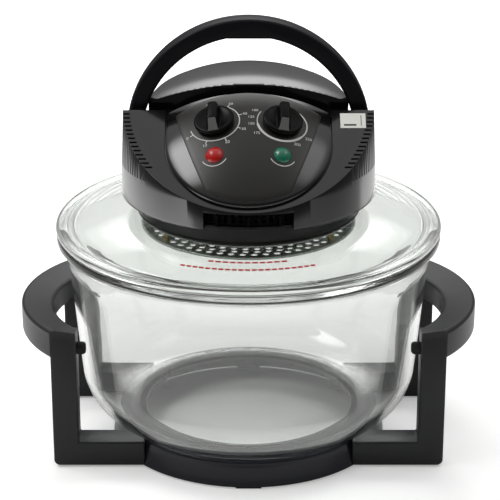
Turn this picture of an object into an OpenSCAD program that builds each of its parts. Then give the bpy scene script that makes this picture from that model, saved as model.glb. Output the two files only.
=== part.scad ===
// Halogen oven: glass bowl on a moulded stand, glass lid with a motor and lamp head.
// Millimetres. The origin is on the floor under the middle of the base ring, +Z up, front towards -Y.

/* [Stand] */
// Reach of the base ring at the floor beyond the bowl's flat foot
ring_out = 23; // [20:0.5:28]
// Height of the base ring and of the foot bars
ring_h = 24.5; // [21:0.5:27]
// Width of the ledge that the bowl's foot rests on
ledge_w = 15.5; // [12:0.5:30]
// Gap between the bowl and the inner corners of the legs
leg_gap = 3.7; // [1:0.1:10]
// Width of a leg along X
leg_w = 22; // [14:1:26]
// Distance from the middle to the inner side of a leg along Y
leg_y = 56; // [45:1:60]
// Depth of a leg along Y
leg_d = 25; // [16:1:28]
// Underside of the grips
grip_z = 103; // [85:1:112]
// Height of a grip
grip_h = 27; // [18:1:32]
// Reach of a grip beyond the legs' outer sides
grip_out = 31; // [26:1:36]
// Width of the band of a grip
grip_band = 28; // [20:1:30]
// Fall of a grip's upper face towards the bowl
grip_fall = 5.5; // [0:0.5:8]
// How far the rubber feet stand proud
foot_proud = 1.5; // [1:0.25:3]

/* [Bowl] */
// Outer radius of the bowl wall at mid height
bowl_r = 151; // [130:0.5:182]
// Height of the bowl from its foot to its rim
bowl_h = 172; // [150:1:207]
// Lean of the bowl wall in degrees
bowl_lean = 4.9; // [3:0.1:5.5]
// Glass thickness of the bowl
bowl_wall = 5.5; // [4:0.25:7]
// Radius of the curve between foot and wall
heel_r = 50; // [35:1:55]

/* [Lid glass] */
// Reach of the lid's rim beyond the bowl wall at mid height
rim_out = 16.5; // [14:0.5:20]
// Glass thickness of the lid
lid_wall = 5; // [4:0.25:6]
// Rise of the lid from its rim to its middle
lid_rise = 12; // [6:0.5:18]
// Radius of the hole that the head stands in
lid_eye_r = 89.5; // [74:0.5:108]

/* [Head] */
// Reach of the shell's lower edge beyond the hole in the lid
shell_out = 20.5; // [18:0.5:25]
// Narrowing of the shell towards its crest
shell_draft = 3; // [0:0.5:5]
// Height of the crest above the shell's lower edge
crest_h = 73; // [68:1:78]
// Height of the rear deck above the shell's lower edge
deck_h = 39; // [36:0.5:41]
// Fall of the front slope in degrees
slope = 28.8; // [26:0.2:30]
// Wall thickness of the moulded housing parts
wall = 3; // [2.5:0.1:3.5]
// Radius of the control dome's outline
dome_r = 70; // [58:0.5:72]
// Distance of the control dome's front from the shell's
dome_front = 4.2; // [3.5:0.1:8]
// Radius of the control dome's face
face_r = 142; // [130:1:160]
// Louvres on each side
louvres = 14; // [6:1:14]
// Width of a louvre slot
louvre_w = 1.8; // [1.2:0.1:2.4]
// Distance from louvre to louvre
louvre_pitch = 4.1; // [3.6:0.1:4.3]
// Half width of the front air vent
vent_x = 37; // [26:1:40]
// Distance of the rear cover's side from the shell's
cover_in = 24; // [22:0.5:29]
// Bore for the mains cord in its gland
cord_bore_r = 3.6; // [3:0.1:4.5]

/* [Controls] */
// Distance of the knobs and lenses from the middle line
control_x = 28; // [24:0.5:31]
// Distance of the knobs from the crest, along the slope
knob_down = 31.5; // [27:0.5:34]
// Distance of the lenses from the knobs, along the slope
lens_down = 34.7; // [30:0.5:38]
// Radius of a knob
knob_r = 17; // [12:0.5:19]
// Height of a knob
knob_h = 12; // [9:0.5:16]
// Radius of a spindle
spindle_r = 3; // [2.5:0.1:3.5]
// Radius of an indicator lens
lens_r = 7.5; // [5:0.25:9]

/* [Handle] */
// Distance of the hinge line behind the middle
pivot_y = 10; // [9:0.5:12]
// Radius of the hinge pins
pin_r = 4; // [3:0.25:5]
// Gap between the rear cover and each end of the handle
handle_gap = 5; // [3:0.25:6]
// Thickness of the handle's bow
handle_t = 14; // [11:0.5:14.5]
// Depth of the handle's bow from front to rear
handle_d = 20; // [16:0.5:21]
// Travel of the safety plunger while the handle folds
plunger_travel = 2.4; // [1.5:0.1:2.6]

/* [Heater and fans] */
// Reach of the heater guard beyond the hole in the lid
guard_out = 3.5; // [1:0.5:8]
// Radius of a hole in the guard
guard_hole_r = 3; // [2:0.25:3.2]
// Distance between rings of holes in the guard
guard_pitch = 8; // [7.5:0.5:12]
// Distance from the halogen tube's ring to the edge of the reflector's flat
lamp_in = 2; // [0:0.5:6]
// Radius of the halogen tube
lamp_r = 5; // [4:0.25:6]
// Gap between the hot air fan and the halogen tube
fan_gap = 9; // [6:0.5:16]
// Blades on the hot air fan
fan_blades = 8; // [4:1:12]
// Radius of the motor
motor_r = 30; // [24:1:32]
// Radius of the motor shaft
shaft_r = 3; // [2.5:0.25:4]

/* [Hidden] */
$fn = 96;

// Clearances: running fits turn or slide, loose fits are assembled, rest gaps keep neighbours apart
run_gap = 0.08;
loose_gap = 0.25;
rest_gap = 0.3;
// Cuts start and end this far outside what they cut
over = 1;

// Bowl
ledge_z = ring_h - 1.5;
bowl_z = ledge_z;
heel_z = bowl_z + heel_r;
rim_z = bowl_z + bowl_h;
wall_mid_z = 100;
lid_r = bowl_r + rim_out;
flange_r = lid_r - 0.5;
flange_h = 8;
flare_z = rim_z - 30;
function bowl_wall_r(z) = bowl_r + (z - wall_mid_z) * tan(bowl_lean);
heel_x = bowl_wall_r(heel_z) - heel_r / cos(bowl_lean);

// Stand
ring_r = heel_x + ring_out;
ring_top_r = ring_r - 4.5;
ring_t = 3;
ring_lip = 9.5;
ring_eye_r = ring_top_r - ring_lip - ledge_w;
leg_x = sqrt(pow(bowl_wall_r(grip_z + grip_h) + leg_gap, 2) - pow(leg_y, 2));
grip_tip = leg_x + leg_w + grip_out;
grip_half = leg_y + leg_d;
grip_r = (pow(grip_half, 2) + pow(grip_out, 2)) / (2 * grip_out);
grip_x = grip_tip - grip_r;
bar_h = ring_h - 0.5;
foot_z0 = foot_proud;
tongue_z = 5;
tongue_h = 10;
tongue_w = 15;
screw_r = 2;
screw_head_r = 3.8;
screw_head_h = 2.4;
pilot_r = screw_r + 0.05;
frame_screw_r = ring_top_r - 8.5;
leg_mid_y = leg_y + leg_d / 2;
frame_screw_x = sqrt(pow(frame_screw_r, 2) - pow(leg_mid_y, 2));
buffer_r = 5.5;
buffer_z = 108;

// Lid
lid_z = rim_z;
lid_edge = 3.2;
lid_top = lid_z + 2 * lid_edge + lid_rise;
lid_bottom = lid_top - lid_wall;
seat_r = lid_eye_r + 8.5;
shoulder_r = lid_r - 10;
shoulder_z = lid_z + 2 * lid_edge - 1;
register_r = flange_r - 9.6;

// Head stack
gasket_t = 2.3;
collar_z = lid_top + gasket_t;
shell_z = collar_z + 13.3;
collar_top = shell_z + 4;
shell_r = lid_eye_r + shell_out;
collar_low_r = seat_r - 1;
collar_high_r = shell_r - 9;
crest_z = shell_z + crest_h;
deck_z = shell_z + deck_h;
crest_y = -8;
inner_r = shell_r - wall;
housing_screw_r = shell_r - 17.5;
housing_screw_turn = 32;
vent_rib_x = 26;
vent_z = collar_top + loose_gap;
vent_h = 11;
gland_z = shell_z + 17;
gland_deep = 16;
terminal_y = lid_eye_r - 27.5;
function slope_z(y) = crest_z + (y - crest_y) * tan(slope);
function shell_side(z) = shell_r - shell_draft * (z - shell_z) / crest_h;

// Control dome, laid out on the front slope
dome_y = dome_front - shell_r + dome_r * cos(slope);
dome_back = crest_y - 1;
face_rise = 22;
rim_round = 5;
rim_turn = 50;
rim_run = 32;
dome_run = 70;
function rim_z_at(r) = sqrt(pow(face_r - dome_r + r, 2) - pow(r - rim_round * (1 - cos(rim_turn)), 2))
    - (face_r - face_rise);
dome_skirt = 3.6;
fascia_t = 0.6;
fascia_side_r = 380;
fascia_side_x = 312;
fascia_side_v = 99;
fascia_top_r = 110;
fascia_top_v = 62;
knob_v = (dome_back - dome_y) / cos(slope) - knob_down;
lens_v = knob_v - lens_down;
neck_r = 5;
unit_r = 16;
unit_h = 20;
unit_gap = 1.5;
knob_gap = 1;
bridge_x = dome_r - 8;

// Rear cover
cover_r = shell_r - cover_in;
cover_front = 8;
cover_step_z = crest_z - 6;
cover_top_z = crest_z + 21;
cover_crown_r = 243;
cover_crown_y = 48;
cover_round = 14;

// Handle
pivot_z = deck_z + 11.5;
handle_in = cover_r + handle_gap;
handle_out = handle_in + handle_t;
hub_r = 8.6;
bow_rise = 82;
bow_flat = 17;
bow_in_rise = bow_rise + 2;
plunger_r = 2.5;
switch_top = deck_z - wall - 5;

// Heater, fans and motor
plate_t = 1;
plate_z = lid_top - plate_t;
plate_r = lid_eye_r - 1.6;
plate_screw_at = plate_r - 5;
clamp_r = lid_eye_r + 5;
clamp_z = lid_bottom - plate_t;
dish_rim_r = plate_screw_at - screw_head_r - 0.6;
dish_r = plate_screw_at - 10.9;
dish_top_r = dish_r - 12;
lamp_ring_r = dish_top_r - lamp_in;
fan_r = lamp_ring_r - lamp_r - fan_gap;
guard_r = lid_eye_r + guard_out;
dish_z = plate_z - plate_t;
dish_h = 14;
post_r = 2.8;
post_at = lid_eye_r - 6.5;
post_turn = 33;
guard_t = 1;
guard_z = lid_z + 1.4;
lamp_z = dish_z - 3;
lamp_gap = 24;
holder_w = 5.5;
holder_turn = lamp_gap / 2 - asin((holder_w / 2 + 0.29) / lamp_ring_r);
shield_z = collar_top;
shaft_low = guard_z + 8;
fan_z = guard_z + 10;
motor_z = shield_z + 18;
motor_h = 22;
cool_z = shield_z + 4;
motor_ear_r = motor_r + 5.5;
motor_post_r = 3.2;
cool_r = motor_ear_r - motor_post_r - 2;
probe_at = dish_r - 2.4;
probe_turn = 18.4;

function arc(cx, cy, r, from, to, steps) =
    [for (i = [0:steps]) let (a = from + (to - from) * i / steps) [cx + r * cos(a), cy + r * sin(a)]];

// Places its children at both sides of the middle plane
module both_sides() {
    children();
    mirror([1, 0, 0]) children();
}

// The four places where something sits at the front and rear of both sides
module four_corners(x, y) {
    for (sx = [-1, 1], sy = [-1, 1]) translate([sx * x, sy * y, 0]) children();
}

// A pan head screw that points up, its head's underside at z = 0
module screw_up(length) {
    cylinder(r = screw_r, h = length, $fn = 24);
    translate([0, 0, -screw_head_h]) difference() {
        cylinder(r = screw_head_r, h = screw_head_h, $fn = 24);
        translate([0, 0, -over]) cylinder(r = 1.6, h = over + 1.2, $fn = 6);
    }
}

// Stand
module base_ring() {
    in_top_r = ring_top_r - ring_t + 0.1;
    color("#16161c") difference() {
        rotate_extrude($fn = 120) polygon(concat(
            [[ring_r, foot_z0], [ring_top_r + 0.6, ring_h - 4]],
            arc(ring_top_r - 3.2, ring_h - 3.6, 3.6, 0, 90, 6),
            [[ring_top_r - 5.6, ring_h], [ring_top_r - ring_lip, ledge_z], [in_top_r - 4, ledge_z]],
            [[in_top_r - 0.6, ledge_z - ring_t], [ring_r - ring_t, foot_z0]]
        ));
        tongue_slots();
    }
}

// Cuts the openings that the frames' tongues pass through
module tongue_slots() {
    for (sx = [-1, 1], sy = [-1, 1])
        translate([sx * (frame_screw_x + 22), sy * leg_mid_y, tongue_z + tongue_h / 2])
            cube([60, tongue_w + 2 * loose_gap, tongue_h + 2 * loose_gap], center = true);
}

module bowl_rest() {
    low = ledge_z - ring_t;
    out_r = ring_top_r - ring_t - 1;
    color("#232325") difference() {
        union() {
            rotate_extrude($fn = 120) polygon([
                [ring_eye_r, low], [out_r, low], [out_r - 3.6, ledge_z], [ring_eye_r, ledge_z]]);
            four_corners(frame_screw_x, leg_mid_y) translate([0, 0, tongue_z + tongue_h])
                cylinder(r = 4.4, h = low - tongue_z - tongue_h + over);
        }
        four_corners(frame_screw_x, leg_mid_y)
            translate([0, 0, tongue_z]) cylinder(r = pilot_r, h = ledge_z - tongue_z - 2.5, $fn = 24);
    }
}

// Band of the right grip: a round bar of four rounded corners, swept about (grip_x, 0)
module grip_band_form() {
    in_r = grip_r - grip_band;
    top = grip_z + grip_h;
    inner_top = top - grip_fall;
    round = 4;
    intersection() {
        translate([grip_x, 0, 0]) rotate_extrude($fn = 180) polygon(concat(
            arc(in_r + round, grip_z + round, round, 180, 270, 5),
            arc(grip_r - round, grip_z + round, round, 270, 360, 5),
            arc(grip_r - 3, top - 3, 3, 0, 90, 5),
            arc(in_r + 6, inner_top - 6, 6, 90 + atan(grip_fall / grip_band), 180, 6)
        ));
        translate([leg_x, -grip_half, 0]) cube([grip_tip, 2 * grip_half, top + over]);
    }
}

// Upright bar with rounded edges, its middle at the origin
module leg_bar(w, d, h, r) {
    linear_extrude(h) {
        square([w, d - 2 * r], center = true);
        square([w - 2 * r, d], center = true);
        for (sx = [-1, 1], sy = [-1, 1])
            translate([sx * (w / 2 - r), sy * (d / 2 - r)]) circle(r = r, $fn = 32);
    }
}

module side_frame() {
    leg_mid_x = leg_x + leg_w / 2;
    leg_h = grip_z + grip_h - grip_fall - 1 - foot_z0;
    difference() {
        union() {
            grip_band_form();
            for (sy = [-1, 1]) {
                translate([leg_mid_x, sy * leg_mid_y, foot_z0]) leg_bar(leg_w, leg_d, leg_h, 1.5);
                translate([ring_eye_r, sy * leg_mid_y - leg_d / 2, foot_z0])
                    cube([leg_mid_x - ring_eye_r, leg_d, bar_h - foot_z0]);
            }
        }
        // Clear of the ring and the bowl's wall
        translate([0, 0, -over]) cylinder(r1 = ring_r + 2 * loose_gap, r2 = ring_top_r + loose_gap,
            h = ring_h + 2 * over, $fn = 120);
        for (sy = [-1, 1]) {
            translate([leg_x + leg_w, sy * leg_mid_y, foot_z0]) rotate([90, 0, 0])
                corner_cut(4, leg_d + 2 * over);
            translate([leg_mid_x, sy * leg_mid_y, foot_z0 - over]) cylinder(r = 8.2, h = over + 1, $fn = 48);
        }
    }
    for (sy = [-1, 1]) difference() {
        translate([frame_screw_x - 7, sy * leg_mid_y - tongue_w / 2, tongue_z])
            cube([30, tongue_w, tongue_h]);
        translate([frame_screw_x, sy * leg_mid_y, 0]) cylinder(r = screw_r + 0.2, h = ring_h, $fn = 24);
        translate([frame_screw_x, sy * leg_mid_y, 0])
            cylinder(r = screw_head_r + 0.3, h = tongue_z + 3, $fn = 24);
    }
}

// What a convex rounding of radius r takes from an outer lower corner
module corner_cut(r, length) {
    translate([-r, r, -length / 2]) difference() {
        translate([0, -r - over, 0]) cube([r + over, r + over, length]);
        translate([0, 0, -over]) cylinder(r = r, h = length + 2 * over, $fn = 32);
    }
}

module right_side_frame() { color("#2b2b2d") side_frame(); }
module left_side_frame() { color("#2b2b2d") mirror([1, 0, 0]) side_frame(); }

module frame_screws() {
    color("#b9b9b4") four_corners(frame_screw_x, leg_mid_y)
        translate([0, 0, tongue_z + 3]) screw_up(ledge_z - tongue_z - 6);
}

module rubber_feet() {
    color("#1b1b1b") {
        four_corners(leg_x + leg_w / 2, leg_mid_y) cylinder(r1 = 7, r2 = 8, h = foot_z0 + 1);
        for (sy = [-1, 1]) translate([0, sy * (ring_r - ring_t / 2 - 0.7), 0])
            intersection() {
                translate([0, -sy * 0.7, foot_z0 / 2]) cube([22, 3.4, foot_z0], center = true);
                cylinder(r = 11, h = foot_z0);
            }
    }
}

module bowl_buffers() {
    gap_y = leg_mid_y - buffer_r;
    tip_x = sqrt(pow(bowl_wall_r(buffer_z + buffer_r) + 0.6, 2) - pow(gap_y, 2));
    color("#101010") for (sx = [-1, 1], sy = [-1, 1])
        translate([sx * leg_x, sy * leg_mid_y, buffer_z]) rotate([0, -sx * 90, 0])
            rotate_extrude($fn = 48) polygon(concat(
                [[0, 0], [buffer_r, 0]],
                arc(buffer_r - 3, leg_x - tip_x - 3, 3, 0, 90, 6),
                [[0, leg_x - tip_x]]
            ));
}

// Glass
module glass_bowl() {
    foot_in = heel_r - bowl_wall;
    flare_r = bowl_wall_r(flare_z);
    top_in = register_r + 1;
    color("#dfe8e6", 0.35) rotate_extrude($fn = 180) polygon(concat(
        [[0, bowl_z], [heel_x, bowl_z]],
        arc(heel_x, heel_z, heel_r, -90, -bowl_lean, 16),
        [[flare_r, flare_z], [flare_r + 2.6, flare_z + 12], [flange_r - 4, rim_z - flange_h - 2]],
        arc(flange_r - 2.5, rim_z - flange_h + 2.5, 2.5, -60, 0, 4),
        arc(flange_r - 3, rim_z - 3, 3, 0, 90, 6),
        [[top_in, rim_z], [top_in, rim_z - 3.5], [flare_r + 3.9 - bowl_wall, rim_z - flange_h]],
        [[flare_r - bowl_wall, flare_z]],
        arc(heel_x, heel_z, foot_in, -bowl_lean, -90, 16),
        [[0, bowl_z + bowl_wall]]
    ));
}

module glass_lid() {
    steps = 10;
    low = shoulder_z - lid_wall;
    color("#dfe8e6", 0.35) rotate_extrude($fn = 180) polygon(concat(
        [[lid_eye_r, lid_bottom], [lid_eye_r, lid_top], [seat_r, lid_top]],
        [for (i = [1:steps - 1]) let (t = i / steps)
            [seat_r + (shoulder_r - seat_r) * t, shoulder_z + (lid_top - shoulder_z) * cos(90 * t)]],
        [[shoulder_r, shoulder_z], [shoulder_r + 2.4, lid_z + 2 * lid_edge]],
        arc(lid_r - lid_edge, lid_z + lid_edge, lid_edge, 90, -90, 12),
        [[register_r, lid_z], [register_r, lid_z - 2.6], [register_r - 4, lid_z - 2.6]],
        [[register_r - 6, low]],
        [for (i = [steps - 2:-1:0]) let (t = i / steps)
            [seat_r + (register_r - 6 - seat_r) * t, low + (lid_bottom - low) * cos(90 * t)]]
    ));
}

module lid_gasket() {
    color("#8c2f22") translate([0, 0, lid_top]) difference() {
        cylinder(r = collar_low_r - 0.4, h = gasket_t, $fn = 120);
        translate([0, 0, -over]) cylinder(r = lid_eye_r + 1, h = gasket_t + 2 * over, $fn = 120);
    }
}

// Head housing
module collar() {
    lip_in = lid_eye_r - 1;
    color("#1d1d1f") difference() {
        rotate_extrude($fn = 120) polygon([
            [lip_in, collar_z], [collar_low_r, collar_z], [collar_high_r, shell_z - 0.6],
            [collar_high_r, shell_z + 1], [inner_r - 2 * loose_gap, shell_z + 1],
            [inner_r - 2 * loose_gap, collar_top], [lip_in - 6, collar_top],
            [lip_in - 6, collar_top - wall], [collar_high_r - wall, collar_top - wall],
            [collar_low_r - wall, collar_z + wall], [lip_in, collar_z + wall]
        ]);
        at_housing_screws(collar_z) cylinder(r = screw_r + 0.2, h = 40, $fn = 24);
    }
    color("#1d1d1f") for (a = [0:90:270]) rotate([0, 0, a]) translate([plate_screw_at, 0, lid_top + 0.2])
        difference() {
            cylinder(r = 4.2, h = collar_top - lid_top - 1, $fn = 32);
            translate([0, 0, -over]) cylinder(r = pilot_r, h = 12, $fn = 24);
        }
}

// The screws that hold the collar to the shell, at height z
module at_housing_screws(z) {
    four_corners(housing_screw_r * cos(housing_screw_turn), housing_screw_r * sin(housing_screw_turn))
        translate([0, 0, z]) children();
}

// Side view of the shell, drawn in the Y and Z directions and stretched across
module shell_side_view(drop, inset) {
    far = shell_r + 10;
    rotate([90, 0, 90]) linear_extrude(2 * far, center = true) polygon([
        [-far, shell_z - drop * over], [-far, slope_z(-far) - inset / cos(slope)],
        [crest_y - inset, slope_z(crest_y - inset) - inset / cos(slope)],
        [crest_y - inset, deck_z - inset], [far, deck_z - inset], [far, shell_z - drop * over]
    ]);
}

module shell_form(drop, inset) {
    tall = crest_h + over * (1 + drop);
    intersection() {
        translate([0, 0, shell_z - drop * over])
            cylinder(r1 = shell_r - inset, r2 = shell_side(shell_z + tall) - inset, h = tall, $fn = 120);
        shell_side_view(drop, inset);
    }
}

// Puts its children on the front slope, with X across, Y up the slope and Z away from it
module on_slope() {
    translate([0, dome_y, slope_z(dome_y)]) rotate([slope, 0, 0]) children();
}

// Outline of the control dome on the slope, grown by g
module dome_outline(g) {
    circle(r = dome_r + g);
    translate([-dome_r - g, 0]) square([2 * (dome_r + g), dome_run]);
}

// Shield outline of the printed fascia
module fascia_outline(g) {
    intersection() {
        dome_outline(g - 3.5);
        translate([-fascia_side_x, fascia_side_v]) circle(r = fascia_side_r + g);
        translate([fascia_side_x, fascia_side_v]) circle(r = fascia_side_r + g);
        translate([0, -fascia_top_v]) circle(r = fascia_top_r + g);
    }
}

// Puts its children on the dome's face, with Z square to it
module on_face(x, v) {
    flat = sqrt(x * x + v * v);
    turn = atan2(v, x);
    lean = asin(flat / face_r);
    translate([0, 0, face_rise - face_r]) rotate([0, 0, turn]) rotate([0, lean, 0])
        translate([0, 0, face_r]) rotate([0, 0, -turn]) children();
}

module at_knobs() { for (side = [-1, 1]) on_slope() on_face(side * control_x, knob_v) children(); }
module at_lenses() { for (side = [-1, 1]) on_slope() on_face(side * control_x, lens_v) children(); }

module louvre_slots() {
    low_z = shell_z + 27;
    for (side = [-1, 1], i = [0:louvres - 1]) {
        y = crest_y - 4 - i * louvre_pitch;
        x_out = sqrt(pow(shell_side(low_z), 2) - y * y);
        translate([side * (x_out + 10 - 7.5), y, low_z + 30 + i * 0.2])
            cube([20, louvre_w, 60], center = true);
    }
}

module vent_opening() {
    translate([-vent_x, -shell_r - over, shell_z - over])
        cube([2 * vent_x, 14, over + 3 + vent_h + 1.5]);
}

module outer_shell() {
    color("#202022") difference() {
        union() {
            difference() {
                shell_form(0, 0);
                shell_form(1, wall);
            }
            intersection() {
                shell_form(0, wall / 2);
                at_housing_screws(collar_top) cylinder(r = 4.5, h = 80, $fn = 32);
            }
            intersection() {
                shell_form(0, wall / 2);
                translate([0, shell_r - 8, gland_z]) cube([18, 14, 18], center = true);
            }
        }
        on_slope() translate([0, 0, -dome_skirt - 4]) linear_extrude(40) dome_outline(0.3);
        rear_half(-0.5) translate([0, 0, deck_z - 10]) cylinder(r = cover_r - wall, h = 60, $fn = 120);
        translate([-bridge_x, crest_y - 2 * wall, deck_z - 2 * wall]) cube([2 * bridge_x, 3 * wall, 100]);
        at_housing_screws(collar_top - over) cylinder(r = pilot_r, h = 14, $fn = 24);
        louvre_slots();
        vent_opening();
        translate([0, shell_r + over, gland_z]) rotate([90, 0, 0]) cylinder(r = 6, h = 30, $fn = 48);
        translate([handle_in + handle_t / 2, pivot_y, deck_z - 12])
            cylinder(r = plunger_r + run_gap, h = 20, $fn = 32);
    }
}

// Keeps what lies behind the crest
module rear_half(g) {
    intersection() {
        children();
        translate([-150, crest_y - g, 0]) cube([300, 260, 500]);
    }
}

// Keeps what lies above the shell's lower edge and in front of y
module before(y) {
    intersection() {
        children();
        translate([-150, -200, shell_z]) cube([300, 200 + y, 300]);
    }
}

// Solid form of the control dome, set in by inset
module dome_form(inset) {
    intersection() {
        dome_body(dome_r - inset, inset);
        translate([0, 0, face_rise - face_r]) sphere(r = face_r - inset, $fn = 180);
    }
}

// Round-fronted block with a rounded rim; a cone leads from the rim's curve up to the face
module dome_body(r, inset) {
    low = -dome_skirt - over * sign(inset);
    corner_z = rim_z_at(r) - rim_round * sin(rim_turn) - 0.35;
    end = [r - rim_round + rim_round * cos(rim_turn), corner_z + rim_round * sin(rim_turn)];
    top = end + rim_run * [-sin(rim_turn), cos(rim_turn)];
    side = concat([[0, low], [r, low]], arc(r - rim_round, corner_z, rim_round, 0, rim_turn, 5),
        [top, [0, top[1]]]);
    rotate([0, 0, 180]) rotate_extrude(angle = 180, $fn = 120) polygon(side);
    rotate([90, 0, 180]) linear_extrude(dome_run) {
        polygon(side);
        mirror([1, 0]) polygon(side);
    }
}

module control_dome() {
    color("#1e1e20") difference() {
        before(dome_back) on_slope() dome_form(0);
        before(dome_back - 2.5) on_slope() dome_form(wall);
        at_knobs() translate([0, 0, -10]) cylinder(r = neck_r + 0.1, h = 20, $fn = 48);
        at_lenses() translate([0, 0, -10]) cylinder(r = lens_r - 1, h = 20, $fn = 48);
    }
}

module panel_fascia() {
    color("#3a3a36") difference() {
        before(dome_back - 1) on_slope() intersection() {
            linear_extrude(60) fascia_outline(0);
            difference() {
                translate([0, 0, face_rise - face_r]) sphere(r = face_r + fascia_t, $fn = 180);
                translate([0, 0, face_rise - face_r]) sphere(r = face_r, $fn = 180);
            }
        }
        at_knobs() translate([0, 0, -10]) cylinder(r = neck_r + 0.1, h = 20, $fn = 48);
        at_lenses() translate([0, 0, -10]) cylinder(r = lens_r - 1, h = 20, $fn = 48);
    }
}

// Solid form of the rear cover, set in by inset and open towards the control dome
module cover_form(inset) {
    r = cover_r - inset;
    corner = cover_round - inset;
    rear_half(over * sign(inset) - 0.4) intersection() {
        translate([0, 0, deck_z - over * sign(inset)]) rotate_extrude($fn = 120) polygon(concat(
            [[0, 0], [r, 0]],
            arc(r - corner, cover_top_z - deck_z - 18 - inset, corner, 0, 60, 8),
            [[r - 2 * corner, 200], [0, 200]]
        ));
        union() {
            intersection() {
                translate([0, cover_crown_y, cover_top_z - cover_crown_r])
                    sphere(r = cover_crown_r - inset, $fn = 180);
                translate([-150, cover_front + inset, 0]) cube([300, 200, 500]);
            }
            translate([-150, -100, 0]) cube([300, 300, cover_step_z - inset]);
        }
    }
}

module rear_cover() {
    boss_x = handle_in - 1.4;
    color("#1c1c1e") difference() {
        union() {
            difference() {
                cover_form(0);
                cover_form(wall);
            }
            both_sides() translate([cover_r - 8, pivot_y, pivot_z]) rotate([0, 90, 0])
                cylinder(r = 8, h = boss_x - cover_r + 8, $fn = 48);
        }
        translate([0, pivot_y, pivot_z]) rotate([0, 90, 0])
            cylinder(r = pin_r + 0.02, h = 300, center = true, $fn = 48);
        for (i = [-4:4]) translate([i * 9, cover_r - 6, deck_z + 14]) cube([3, 40, 14], center = true);
    }
}

module front_vent() {
    turn = asin((vent_x + 3) / (shell_r - wall));
    color("#0c0c0c") {
        difference() {
            rotate([0, 0, -90 - turn]) rotate_extrude(angle = 2 * turn, $fn = 120)
                translate([inner_r - 5.2, vent_z]) square([2, vent_h]);
            for (i = [-5:5]) translate([i * 6.2, -inner_r, vent_z + vent_h / 2])
                cube([3, 20, 7], center = true);
        }
        for (x = [-vent_rib_x, 0, vent_rib_x])
            translate([x - 1, -sqrt(pow(shell_r - 0.8, 2) - x * x), vent_z]) cube([2, 6.5, vent_h - 1]);
    }
}

module cord_gland() {
    head = 6;
    color("#151515") translate([0, shell_r + head, gland_z]) rotate([90, 0, 0]) difference() {
        union() {
            cylinder(r = 8.5, h = head, $fn = 48);
            cylinder(r = 5.9, h = head + gland_deep, $fn = 48);
        }
        translate([0, 0, -over]) cylinder(r = cord_bore_r, h = head + gland_deep + 2 * over, $fn = 48);
    }
}

module handle_pins() {
    color("#a7a7a2") both_sides() translate([cover_r - 14, pivot_y, pivot_z]) rotate([0, 90, 0]) {
        cylinder(r = pin_r, h = handle_out - cover_r + 14, $fn = 48);
        translate([0, 0, handle_out - cover_r + 14 + 0.3]) cylinder(r = pin_r + 2, h = 1.6, $fn = 48);
    }
}

// Controls
module lens(side) {
    on_slope() on_face(side * control_x, lens_v) {
        translate([0, 0, fascia_t]) intersection() {
            translate([0, 0, -lens_r * 0.55]) sphere(r = lens_r * 1.14, $fn = 60);
            cylinder(r = lens_r, h = lens_r, $fn = 48);
        }
        translate([0, 0, -wall - 2]) cylinder(r = lens_r - 1.1, h = wall + 2 + fascia_t + 0.01, $fn = 48);
    }
}

module power_lens() { color("#c81d1a") lens(-1); }
module heat_lens() { color("#12805c") lens(1); }

module lamp(side) {
    on_slope() on_face(side * control_x, lens_v) translate([0, 0, -wall - 2 - 13]) {
        cylinder(r = 4, h = 12.7, $fn = 32);
        for (x = [-1.5, 1.5]) translate([x, 0, -5]) cylinder(r = 0.5, h = 5.5, $fn = 16);
    }
}

module power_lamp() { color("#e8c9a0") lamp(-1); }
module heat_lamp() { color("#bfe8c8") lamp(1); }

module control_unit(side) {
    on_slope() on_face(side * control_x, knob_v) difference() {
        union() {
            translate([0, 0, -wall - unit_gap - unit_h]) cylinder(r = unit_r, h = unit_h, $fn = 48);
            translate([0, 0, -wall - unit_gap - 0.01])
                cylinder(r = neck_r, h = wall + unit_gap + fascia_t, $fn = 48);
            for (t = [-1, 1]) translate([t * 7, 0, -wall - unit_gap - unit_h - 6])
                translate([-0.4, -3, 0]) cube([0.8, 6, 6.5]);
        }
        translate([0, 0, -wall - unit_gap - 12]) cylinder(r = spindle_r + run_gap, h = 40, $fn = 48);
    }
}

module timer_unit() { color("#c9c4b4") control_unit(-1); }
module thermostat_unit() { color("#8d8f92") control_unit(1); }

module spindle(side) {
    on_slope() on_face(side * control_x, knob_v) translate([0, 0, -wall - unit_gap - 11.5])
        cylinder(r = spindle_r, h = wall + unit_gap + 11.5 + fascia_t + knob_gap + knob_h - 4, $fn = 48);
}

module timer_spindle() { color("#b8b8b0") spindle(-1); }
module thermostat_spindle() { color("#b8b8b0") spindle(1); }

module knob(side) {
    on_slope() on_face(side * control_x, knob_v) translate([0, 0, fascia_t + knob_gap]) difference() {
        union() {
            rotate_extrude($fn = 96) polygon(concat(
                [[0, 0], [knob_r, 0]],
                arc(knob_r - 2, 2, 2, 0, 90, 6),
                [[knob_r - 3, 4.2], [0, 4.2]]
            ));
            intersection() {
                translate([-4.5, -knob_r + 3.5, 0]) cube([9, 2 * knob_r - 5, knob_h]);
                translate([0, 0, -6]) sphere(r = knob_h + 6.2, $fn = 72);
            }
        }
        translate([0, 0, -over]) cylinder(r = spindle_r, h = over + knob_h - 4, $fn = 48);
    }
}

module timer_knob() { color("#0f0f10") knob(-1); }
module thermostat_knob() { color("#0f0f10") knob(1); }

module thermostat_probe() {
    color("#c8c8c8") {
        at_probe(dish_z - 10) cylinder(r = 1.6, h = shield_z - dish_z + 6, $fn = 24);
        at_probe(shield_z + plate_t) cylinder(r = 3, h = 2, $fn = 24);
    }
}

module at_probe(z) { rotate([0, 0, probe_turn]) translate([probe_at, 0, z]) children(); }

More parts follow.
